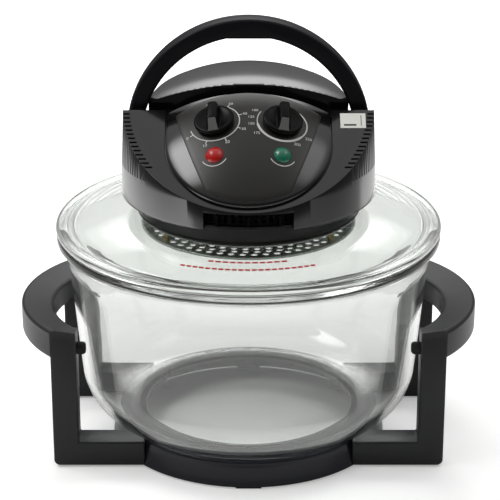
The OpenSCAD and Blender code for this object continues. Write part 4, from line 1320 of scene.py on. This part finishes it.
@dataclass
class Controls:
    """Knobs, lenses and the marks printed round them."""

    sizes: Sizes
    lens_r: float = 7.5
    bar_foot: float = 3.0
    bar_top: float = 11.5
    ink: float = 0.06
    # Radii of the print about each knob's middle. A label's reach is wider than it is high.
    timer_ring: float = 20.6
    timer_label: Point = (26.2, 25.6)
    tick_from: float = 20.9
    tick_to: float = 23.6
    tick_half: float = 0.4
    heat_ring: float = 20.8
    heat_label: Point = (26.2, 25.0)
    heat_marks: tuple[tuple[int, str], ...] = (
        (150, "100"), (171, "125"), (190, "150"), (216, "175"), (298, "200"), (326, "250")
    )
    lens_arc: float = 11.2

    def build(self, maker: Maker) -> None:
        """Makes knobs, lenses and dial print.

        Args:
            maker: What turns them into pieces.
        """
        s = self.sizes
        for name, side, body in (("timer_knob", -1, "timer"), ("thermostat_knob", 1, "thermostat")):
            place = s.on_face(side * s.control_x, s.knob_v, s.fascia_t + 1.0)
            disc, bar, painted_reflection = (form.moved(place) for form in (self._disc(), self._bar(), self._painted_reflection()))
            maker.piece(f"{name}_look", disc, KNOB_PLASTIC, body, [name])
            maker.piece(f"{name}_bar", bar, KNOB_PLASTIC, body, crease=40)
            # The grey strip on the bar's sloping front is a painted reflection
            maker.piece(f"{name}_painted_reflection", painted_reflection, KNOB_PAINTED_REFLECTION, body)
        for name, side, finish, slot in (
            ("power_lens", -1, RED_LENS, "red_lens"), ("heat_lens", 1, GREEN_LENS, "green_lens")
        ):
            lens = self._lens().moved(s.on_face(side * s.control_x, s.lens_v, s.fascia_t))
            maker.piece(f"{name}_look", lens, finish, "lid", [name], crease=60)
        maker.piece("dial_print", self._print(), PRINT_INK, "lid")

    def dress(self, maker: Maker) -> None:
        """Gives the CAD nodes behind the panel their finish.

        Args:
            maker: What finishes them.
        """
        maker.dress(NEON_GLASS, "power_lamp", "heat_lamp")
        maker.dress(TIMER_CASE, "timer_unit")
        maker.dress(CONTROL_CASE, "thermostat_unit")
        maker.dress(SHAFT_STEEL, "timer_spindle", "thermostat_spindle", "thermostat_probe")

    def _disc(self) -> Solid:
        """Makes the knob's round base with a dished edge.

        Returns:
            Its solid, standing on its own origin.
        """
        outline = [
            (0, 0), (16.6, 0), *arc(15.0, 2.0, 2.0, 0, 90, 12), (13.6, 4.1), (12.6, 3.6), (5.5, 3.2),
            (0, 3.2),
        ]
        return Solid.lathe(outline, 96)

    def _bar_levels(self) -> list[Corner]:
        """Lists the levels of the bar from its flared foot to its top.

        Returns:
            (height, half width, front) of each level.
        """
        flare = [
            (self.bar_foot, 6.8), (3.5, 5.9), (4.4, 5.2), (5.8, 4.7), (8.0, 4.4), (10.2, 4.2),
            (11.2, 3.8), (11.7, 3.0),
        ]
        return [
            (z, half, -15.4 + 1.02 * (z - self.bar_foot) + (1.2 if z > self.bar_top else 0.0))
            for z, half in flare
        ]

    def _bar(self) -> Solid:
        """Makes the upright bar that the fingers turn: flared foot, sloping front, rounded top.

        Returns:
            Its solid, standing on the knob's origin.
        """
        rings = []
        for z, half, front in self._bar_levels():
            rear = 14.6 - 0.25 * (z - self.bar_foot) - (1.0 if z > self.bar_top else 0.0)
            side, end = min(1.2, 0.45 * half), min(2.4, 0.9 * half)
            ring = [
                *arc(half - side, front + side, side, -90, 0, 18),
                *arc(half - end, rear - end, end, 0, 90, 18),
                *arc(end - half, rear - end, end, 90, 180, 18),
                *arc(side - half, front + side, side, 180, 270, 18),
            ]
            rings.append([(x, y, z) for x, y in ring])
        return Solid.loops(rings).fill()

    def _painted_reflection(self) -> Solid:
        """Makes the grey strip on the bar's sloping front, by which the setting is read: a painted
        reflection of the lit surroundings that the slope mirrors.

        Returns:
            Its solid, standing on the knob's origin.
        """
        rings = []
        for z, half, front in self._bar_levels()[1:-1]:
            half -= 0.9
            near, far = front - 0.22, front + 0.5
            rings.append([(-half, near, z), (half, near, z), (half, far, z), (-half, far, z)])
        return Solid.loops(rings).fill()

    def _lens(self) -> Solid:
        """Makes an indicator lens: a low dome on a short stem that goes through the panel.

        Returns:
            Its solid, standing on its own origin.
        """
        ball, low = self.lens_r * 1.14, -self.lens_r * 0.55
        edge = math.degrees(math.asin(-low / ball))
        dome = [p for p in arc(0, low, ball, edge, 90, 6) if p[0] < self.lens_r]
        stem = [(0, -5.6), (6.4, -5.6), (6.4, 0.0)]
        return Solid.lathe([*stem, (self.lens_r - 0.2, 0.0), (self.lens_r, 0.3), *dome], 64)

    def _flat(self, solid: Solid, outline: Sequence[Point]) -> None:
        """Adds one thin shape to the print.

        Args:
            solid: The print under construction.
            outline: The shape in the slope's X and Y.
        """
        s = self.sizes
        bm = solid.bm
        top = [bm.verts.new((x, v, s.face_height(x, v, s.fascia_t + self.ink))) for x, v in outline]
        low = [bm.verts.new((x, v, s.face_height(x, v, s.fascia_t - 0.02))) for x, v in outline]
        bm.faces.new(top)
        bm.faces.new(list(reversed(low)))
        for i in range(len(top)):
            j = (i + 1) % len(top)
            bm.faces.new((top[j], top[i], low[i], low[j]))

    def _band(self, solid: Solid, centre: Point, stations: Sequence[Corner]) -> None:
        """Adds a band that runs round a centre.

        Args:
            solid: The print under construction.
            centre: The centre on the slope.
            stations: (angle, radius, half width) of the band from one end to the other.
        """
        cx, cv = centre
        edges = []
        for a, r, w in stations:
            c, s = math.cos(math.radians(a)), math.sin(math.radians(a))
            edges.append(((cx + c * (r - w), cv + s * (r - w)), (cx + c * (r + w), cv + s * (r + w))))
        for (inner, outer), (next_inner, next_outer) in zip(edges, edges[1:]):
            self._flat(solid, [inner, outer, next_outer, next_inner])

    def _word(self, solid: Solid, text: str, centre: Point, height: float) -> None:
        """Adds a plain number.

        Args:
            solid: The print under construction.
            text: Its digits.
            centre: Its middle on the slope.
            height: Size of its digits.
        """
        curve = bpy.data.curves.new("number", "FONT")
        curve.body, curve.size = text, height
        curve.align_x, curve.align_y = "CENTER", "CENTER"
        obj = shown("number", curve)
        mesh = obj.evaluated_get(bpy.context.evaluated_depsgraph_get()).to_mesh().copy()
        bpy.data.objects.remove(obj)
        bpy.data.curves.remove(curve)
        for polygon in mesh.polygons:
            corners = [mesh.vertices[i].co for i in polygon.vertices]
            self._flat(solid, [(centre[0] + p.x, centre[1] + p.y) for p in corners])
        bpy.data.meshes.remove(mesh)

    def _print(self) -> Solid:
        """Makes the rings, ticks and plain numbers of both dials, and the arcs under the lenses.

        Returns:
            The print as one solid.
        """
        s = self.sizes
        solid = Solid()
        self._timer_dial(solid, (-s.control_x, s.knob_v))
        self._heat_dial(solid, (s.control_x, s.knob_v))
        for side in SIDES:
            under = [(a, self.lens_arc, 0.35) for a in range(-150, -29, 6)]
            self._band(solid, (side * s.control_x, s.lens_v + 1.0), under)
        return solid.moved(s.on_slope())

    def _timer_dial(self, solid: Solid, centre: Point) -> None:
        """Adds the timer's dial: an even ring, with a tick and a number at every ten minutes.

        Args:
            solid: The print under construction.
            centre: The knob's middle on the slope.
        """
        self._band(solid, centre, [(a, self.timer_ring, 0.42) for a in range(-165, 125, 5)])
        for k in range(7):
            a = math.radians(-150 + k * 42)
            dx, dv = math.cos(a), math.sin(a)
            nx, nv = -dv * self.tick_half, dx * self.tick_half
            x0, v0 = centre[0] + dx * self.tick_from, centre[1] + dv * self.tick_from
            x1, v1 = centre[0] + dx * self.tick_to, centre[1] + dv * self.tick_to
            tick = [(x0 + nx, v0 + nv), (x0 - nx, v0 - nv), (x1 - nx, v1 - nv), (x1 + nx, v1 + nv)]
            self._flat(solid, tick)
            wide, high = self.timer_label
            self._word(solid, str(10 * k), (centre[0] + dx * wide, centre[1] + dv * high), 3.9)

    def _heat_dial(self, solid: Solid, centre: Point) -> None:
        """Adds the thermostat's dial: a ring that is thickest at its foot, with its numbers.

        Args:
            solid: The print under construction.
            centre: The knob's middle on the slope.
        """
        stations = [(a, self.heat_ring, 0.35) for a in range(-212, -167, 5)]
        stations += [(a, self.heat_ring, 1.0) for a in range(-166, -41, 5)]
        stations += [(a, self.heat_ring, 0.62) for a in range(-36, 83, 5)]
        self._band(solid, centre, stations)
        wide, high = self.heat_label
        for a, mark in self.heat_marks:
            dx, dv = math.cos(math.radians(a)), math.sin(math.radians(a))
            self._word(solid, mark, (centre[0] + dx * wide, centre[1] + dv * high), 3.8)


@dataclass
class Marks:
    """The plain sticker on the right wing and the red marks on the lid."""

    sizes: Sizes
    # Half the width of a dash, and how far it reaches into the glass and above it
    dash_half: float = 1.0
    sunk: float = -0.05
    proud: float = 0.08

    def build(self, maker: Maker) -> None:
        """Makes the sticker and the lid's marks.

        Args:
            maker: What turns them into pieces.
        """
        place = self.sizes.on_slope()
        sheet = Solid.box((77.5, 20.5, 0.0), (99.0, 37.5, 0.25), 0.08).moved(place)
        maker.piece("wing_sticker", sheet, STICKER_PAPER, "lid")
        ink = Solid.box((80.5, 23.0, 0.2), (91.0, 25.0, 0.32))
        ink.with_island(Solid.box((94.8, 23.0, 0.2), (95.4, 35.0, 0.32)))
        maker.piece("sticker_bar", ink.moved(place), STICKER_INK, "lid")
        marks = Solid()
        for radius, half, dashes in ((126.5, 15.0, 11), (136.0, 24.0, 21)):
            for k in range(dashes):
                start = -90 - half + 2 * half * k / dashes
                self._dash(marks, radius, start, start + 1.5 * half / dashes)
        maker.piece("lid_marks", marks, LID_ENAMEL, "lid")

    def _dash(self, solid: Solid, radius: float, start: float, end: float) -> None:
        """Adds one enamel dash that lies on the lid's top.

        Args:
            solid: The marks under construction.
            radius: Its middle radius.
            start: Angle at which it starts.
            end: Angle at which it ends.
        """
        s = self.sizes
        bm = solid.bm
        turns = [math.radians(a) for a in (start, (start + end) / 2, end)]
        rows = []
        for r in (radius - self.dash_half, radius + self.dash_half):
            z = s.lid_face((r - s.lid_flat) / s.lid_spread)
            for lift in (self.sunk, self.proud):
                rows.append([bm.verts.new((r * math.cos(t), r * math.sin(t), z + lift)) for t in turns])
        low_in, top_in, low_out, top_out = rows
        for one, two in ((top_in, top_out), (low_out, low_in), (low_in, top_in), (top_out, low_out)):
            for i in range(2):
                bm.faces.new((one[i], two[i], two[i + 1], one[i + 1]))
        bm.faces.new((low_in[0], low_out[0], top_out[0], top_in[0]))
        bm.faces.new((low_in[2], top_in[2], top_out[2], low_out[2]))
        solid.clean()


@dataclass
class Handle:
    """The bow handle and its plunger."""

    sizes: Sizes
    # The bow's outer and inner circles, then over its pivots the inner one's top and the grip's flat
    # underside, and last the grip's thickness and its depth from front to back
    out_r: float = 105.18
    in_r: float = 91.292
    in_rise: float = 84.0
    rise: float = 82.0
    flat: float = 17.0
    depth: float = 20.0
    # The hubs, and the height of the cam on each
    hub_r: float = 8.6
    hub_in: float = 91.0
    hub_out: float = 105.0
    cam_rise: float = 2.4

    def build(self, maker: Maker) -> None:
        """Makes the handle."""
        maker.piece(
            "handle_look", self._bow(), HANDLE_PLASTIC, "handle", ["handle"], crease=40
        )

    def dress(self, maker: Maker) -> None:
        """Gives the plunger its finish."""
        maker.dress(WHITE_PLASTIC, "safety_plunger")

    def _bow(self) -> Solid:
        """Makes the bow, with a flat underside at its top and a hub at each end.

        Returns:
            Its solid, upright on its pivots.
        """
        top = self.rise + self.flat
        cz, iz = top - self.out_r, self.in_rise - self.in_r
        outer_end = math.degrees(math.asin(-cz / self.out_r))
        inner_end = math.degrees(math.asin(-iz / self.in_r))
        inner_flat = math.degrees(math.asin((self.rise - iz) / self.in_r))
        outline = arc(0, cz, self.out_r, outer_end, 180 - outer_end, 2.5)
        outline += arc(0, iz, self.in_r, 180 - inner_end, 180 - inner_flat, 2.5)
        outline += arc(0, iz, self.in_r, inner_flat, inner_end, 2.5)
        bow = Solid.prism(outline, -self.depth / 2, self.depth / 2).soften(2.6, 4, 50)
        bow.moved(turned(90, "X"))
        for low, high in ((-self.hub_out, -self.hub_in), (self.hub_in, self.hub_out)):
            hub = Solid.prism(self._hub_outline(), low, high).soften(1.0, 3, 50)
            bow = bow.united(hub.moved(ALONG_X))
        return bow.moved(Matrix.Translation((0, self.sizes.pivot_y, self.sizes.pivot_z)))

    def _hub_outline(self) -> list[Point]:
        """Draws a hub from the side: a circle, and the cam that rises from it to press the plunger.

        Returns:
            The closed outline.
        """
        hub = [(a, self.hub_r) for a in range(0, -271, -9)]
        cam = [(a, self.hub_r + self.cam_rise * a / 90) for a in range(90, 5, -6)]
        return [(r * math.sin(math.radians(a)), -r * math.cos(math.radians(a))) for a, r in cam + hub]


@dataclass
class Heater:
    """Everything that heats, blows and holds, as the CAD has it."""

    def dress(self, maker: Maker) -> None:
        """Gives the inner CAD nodes their finish.

        Args:
            maker: What finishes them.
        """
        maker.dress(SHEET_STEEL, "mount_plate", "heat_shield")
        maker.dress(REFLECTOR_METAL, "reflector")
        maker.dress(TUBE_GLASS, "halogen_tube")
        maker.dress(CERAMIC, "lamp_holders")
        maker.dress(GUARD_STEEL, "heater_guard")
        maker.dress(BRASS, "guard_posts", "guard_screws")
        maker.dress(SCREW_STEEL, "plate_screws", "fan_nut", "motor_posts")
        maker.dress(MOTOR_STEEL, "motor")
        maker.dress(WHITE_PLASTIC, "terminal_block")
        maker.dress(SHAFT_STEEL, "motor_shaft")
        maker.dress(DARK_PLASTIC, "cooling_fan")
        maker.dress(FAN_METAL, "convection_fan")


@dataclass(frozen=True)
class SoftBox:
    """One soft studio light. Lengths are metres, its power watts before the studio's brightness."""

    name: str
    place: Corner
    aim: Corner
    width: float
    height: float
    power: float
    mirrored: bool = True


@dataclass
class Studio:
    """Floor, lights and the camera at the photograph's angle. Lengths are metres."""

    lens: float = 144.0
    sensor: float = 36.0
    eye: Corner = (0.0, -1.630, 0.8163)
    aim: Corner = (0.0, 0.0, 0.171)
    shift: float = 0.003
    floor_r: float = 9.0
    # What every lamp's power is multiplied by
    brightness: float = 1.74
    boxes: tuple[SoftBox, ...] = (
        SoftBox("left_box", (-1.35, -0.05, 1.95), (0, 0, 0.28), 1.9, 0.9, 21),
        SoftBox("right_box", (1.35, -0.05, 1.95), (0, 0, 0.28), 1.9, 0.7, 3.5),
        SoftBox("back_fill", (0.0, 1.7, 1.4), (0, 0, 0.3), 2.6, 1.0, 20, mirrored=False),
        SoftBox("back_strip", (0.0, 1.55, 1.35), (0, 0, 0.33), 1.5, 0.55, 4.6),
    )

    def build(self) -> None:
        """Sets up the whole studio."""
        self._floor()
        self._world()
        for box in self.boxes:
            self._light(box)
        self._camera()

    def _floor(self) -> None:
        """Lays a plain pale floor, wide enough to fill the picture."""
        bm = bmesh.new()
        bmesh.ops.create_circle(bm, cap_ends=True, segments=96, radius=self.floor_r)
        mesh = bpy.data.meshes.new("studio_floor")
        bm.to_mesh(mesh)
        bm.free()
        mesh.materials.append(self._floor_material())
        floor = shown("studio_floor", mesh)

    @staticmethod
    def _floor_material() -> bpy.types.Material:
        """Makes pale matt paper, lit so brightly that the camera loses most of its shadows.

        Polished surfaces mirror it as a table that fades out 0.7 m from the oven at the sides and in
        front and 0.5 m behind. Its left and rear parts lie under the lamps and mirror brighter than
        white.

        Returns:
            The material.
        """
        mat = bpy.data.materials.new("studio_floor")
        mat.cycles.emission_sampling = "NONE"
        tree = empty_tree(mat)
        place = add_node(tree, "TexCoord").outputs["Object"]
        x, y, _ = add_node(tree, "SeparateXYZ", place).outputs
        path = add_node(tree, "LightPath").outputs
        # 1 for a ray that a polished but not perfectly smooth surface mirrors
        glossy, turned_back = path["Is Glossy Ray"], path["Is Reflection Ray"]
        mirrored = add_node(tree, "Math", glossy, turned_back, operation="MULTIPLY")
        rough = add_node(tree, "Math", 1.0, path["Is Singular Ray"], operation="SUBTRACT")
        mirrored = add_node(tree, "Math", mirrored, rough, operation="MULTIPLY")
        # Rises from 0 on the table to 1 past its edge
        aside = add_node(tree, "Math", x, operation="ABSOLUTE")
        aside = add_node(tree, "MapRange", aside, 0.72, 1.15)
        behind = add_node(tree, "MapRange", y, 0.5, 0.95)
        ahead = add_node(tree, "MapRange", y, -0.65, -0.95)
        past = add_node(tree, "Math", behind, ahead, operation="MAXIMUM")
        past = add_node(tree, "Math", aside, past, operation="MAXIMUM")
        faded = add_node(tree, "Math", mirrored, past, operation="MULTIPLY")
        tones = linear("#f6f6f5"), (0.14, 0.14, 0.14, 1.0)
        tone = add_node(tree, "Mix", faded, *NOT_COLOUR, *tones, data_type="RGBA").outputs[2]
        # 1 on the table's left and rear parts, from 0.6 m out
        across = add_node(tree, "Math", x, 0.66, operation="MULTIPLY")
        across = add_node(tree, "Math", y, across, operation="SUBTRACT")
        lamps = add_node(tree, "MapRange", across, -0.22, -0.12)
        x_squared = add_node(tree, "Math", x, x, operation="MULTIPLY")
        y_squared = add_node(tree, "Math", y, y, operation="MULTIPLY")
        reach = add_node(tree, "Math", x_squared, y_squared, operation="ADD")
        reach = add_node(tree, "Math", reach, operation="SQRT")
        reach = add_node(tree, "MapRange", reach, 0.52, 0.62)
        lamps = add_node(tree, "Math", lamps, reach, operation="MULTIPLY")
        table = add_node(tree, "Math", 1.0, past, operation="SUBTRACT")
        lamps = add_node(tree, "Math", lamps, table, operation="MULTIPLY")
        # The lamps' light falls from 2.6 beside the oven to 0.5 behind it
        fall = add_node(tree, "MapRange", y, 0.0, 0.5)
        fall = add_node(tree, "Math", fall, 2.1, operation="MULTIPLY")
        fall = add_node(tree, "Math", 2.6, fall, operation="SUBTRACT")
        lamps = add_node(tree, "Math", lamps, fall, operation="MULTIPLY")
        seen = add_node(tree, "Math", path["Is Camera Ray"], 0.3, operation="MULTIPLY")
        lamps = add_node(tree, "Math", mirrored, lamps, operation="MULTIPLY")
        painted_glow = add_node(tree, "Math", seen, lamps, operation="ADD")
        paper = add_node(tree, "BsdfDiffuse", Color=tone)
        light = add_node(tree, "Emission", Color=(1.0, 1.0, 1.0, 1.0), Strength=painted_glow)
        add_node(tree, "OutputMaterial", add_node(tree, "AddShader", paper, light))
        return mat

    def _world(self) -> None:
        """Sets soft light all round.

        It is brightest overhead and in glass, dim at the horizon, and pale to the camera.
        """
        world = bpy.data.worlds.new("studio")
        bpy.context.scene.world = world
        tree = empty_tree(world)
        direction = add_node(tree, "TexCoord").outputs["Generated"]
        _, y, z = add_node(tree, "SeparateXYZ", direction).outputs
        rise = add_node(tree, "MapRange", z, 0.0, 0.9, 0.13, 0.9)
        front = add_node(tree, "MapRange", y, -0.9, 0.0, 0.35, 1.0)
        light = add_node(tree, "Math", rise, front, operation="MULTIPLY")
        path = add_node(tree, "LightPath").outputs
        for ray, least in (("Is Singular Ray", 0.7), ("Is Camera Ray", 0.95)):
            asked = add_node(tree, "Math", path[ray], least, operation="MULTIPLY")
            light = add_node(tree, "Math", light, asked, operation="MAXIMUM")
        back = add_node(tree, "Background", Color=(1.0, 1.0, 1.0, 1.0), Strength=light)
        add_node(tree, "OutputWorld", back)

    def _light(self, box: SoftBox) -> None:
        """Adds one soft box, which fades out towards its edges as its cloth does.

        Args:
            box: The soft box.
        """
        data = bpy.data.lights.new(box.name, "AREA")
        data.shape, data.size, data.size_y = "RECTANGLE", box.width, box.height
        data.energy = self.brightness * box.power
        tree = empty_tree(data)
        spot = add_node(tree, "NewGeometry").outputs["Parametric"]
        mirror = add_node(tree, "VectorMath", (1.0, 1.0, 1.0), spot, operation="SUBTRACT")
        hump = add_node(tree, "VectorMath", spot, mirror, operation="MULTIPLY")
        across, along, _ = add_node(tree, "SeparateXYZ", hump).outputs
        shares = [add_node(tree, "MapRange", side, From_Max=0.2) for side in (across, along)]
        share = add_node(tree, "Math", *shares, operation="MULTIPLY")
        add_node(tree, "OutputLight", add_node(tree, "Emission", Strength=share))
        lamp = shown(box.name, data)
        lamp.visible_glossy = box.mirrored
        lamp.location = box.place
        lamp.rotation_euler = facing(box.place, box.aim)

    def _camera(self) -> None:
        """Places the camera and the picture's colour handling."""
        data = bpy.data.cameras.new("photo_camera")
        data.lens, data.sensor_width, data.shift_x = self.lens, self.sensor, self.shift
        data.dof.use_dof = False
        camera = shown("photo_camera", data)
        camera.location = self.eye
        camera.rotation_euler = facing(self.eye, self.aim)
        scene = bpy.context.scene
        scene.camera = camera
        scene.view_settings.view_transform = "Standard"
        scene.view_settings.look = "None"
        scene.cycles.max_bounces = 24
        scene.cycles.transmission_bounces = 24
        scene.cycles.glossy_bounces = 24
        scene.cycles.transparent_max_bounces = 16
        scene.cycles.caustics_refractive = False


def main() -> None:
    """Builds the pieces of each part of the oven, then the studio."""
    logging.basicConfig(level=logging.INFO, format="%(message)s")
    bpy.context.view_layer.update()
    sizes = Sizes()
    maker = Maker()
    stand = Stand(sizes)
    stand.build(maker)
    stand.dress(maker)
    Glass(sizes).build(maker)
    housing = Housing(sizes)
    housing.build(maker)
    housing.dress(maker)
    controls = Controls(sizes)
    controls.build(maker)
    controls.dress(maker)
    Marks(sizes).build(maker)
    handle = Handle(sizes)
    handle.build(maker)
    handle.dress(maker)
    Heater().dress(maker)
    Studio().build()
    log.info("%d pieces made", len(maker.made))


if __name__ == "__main__":
    main()
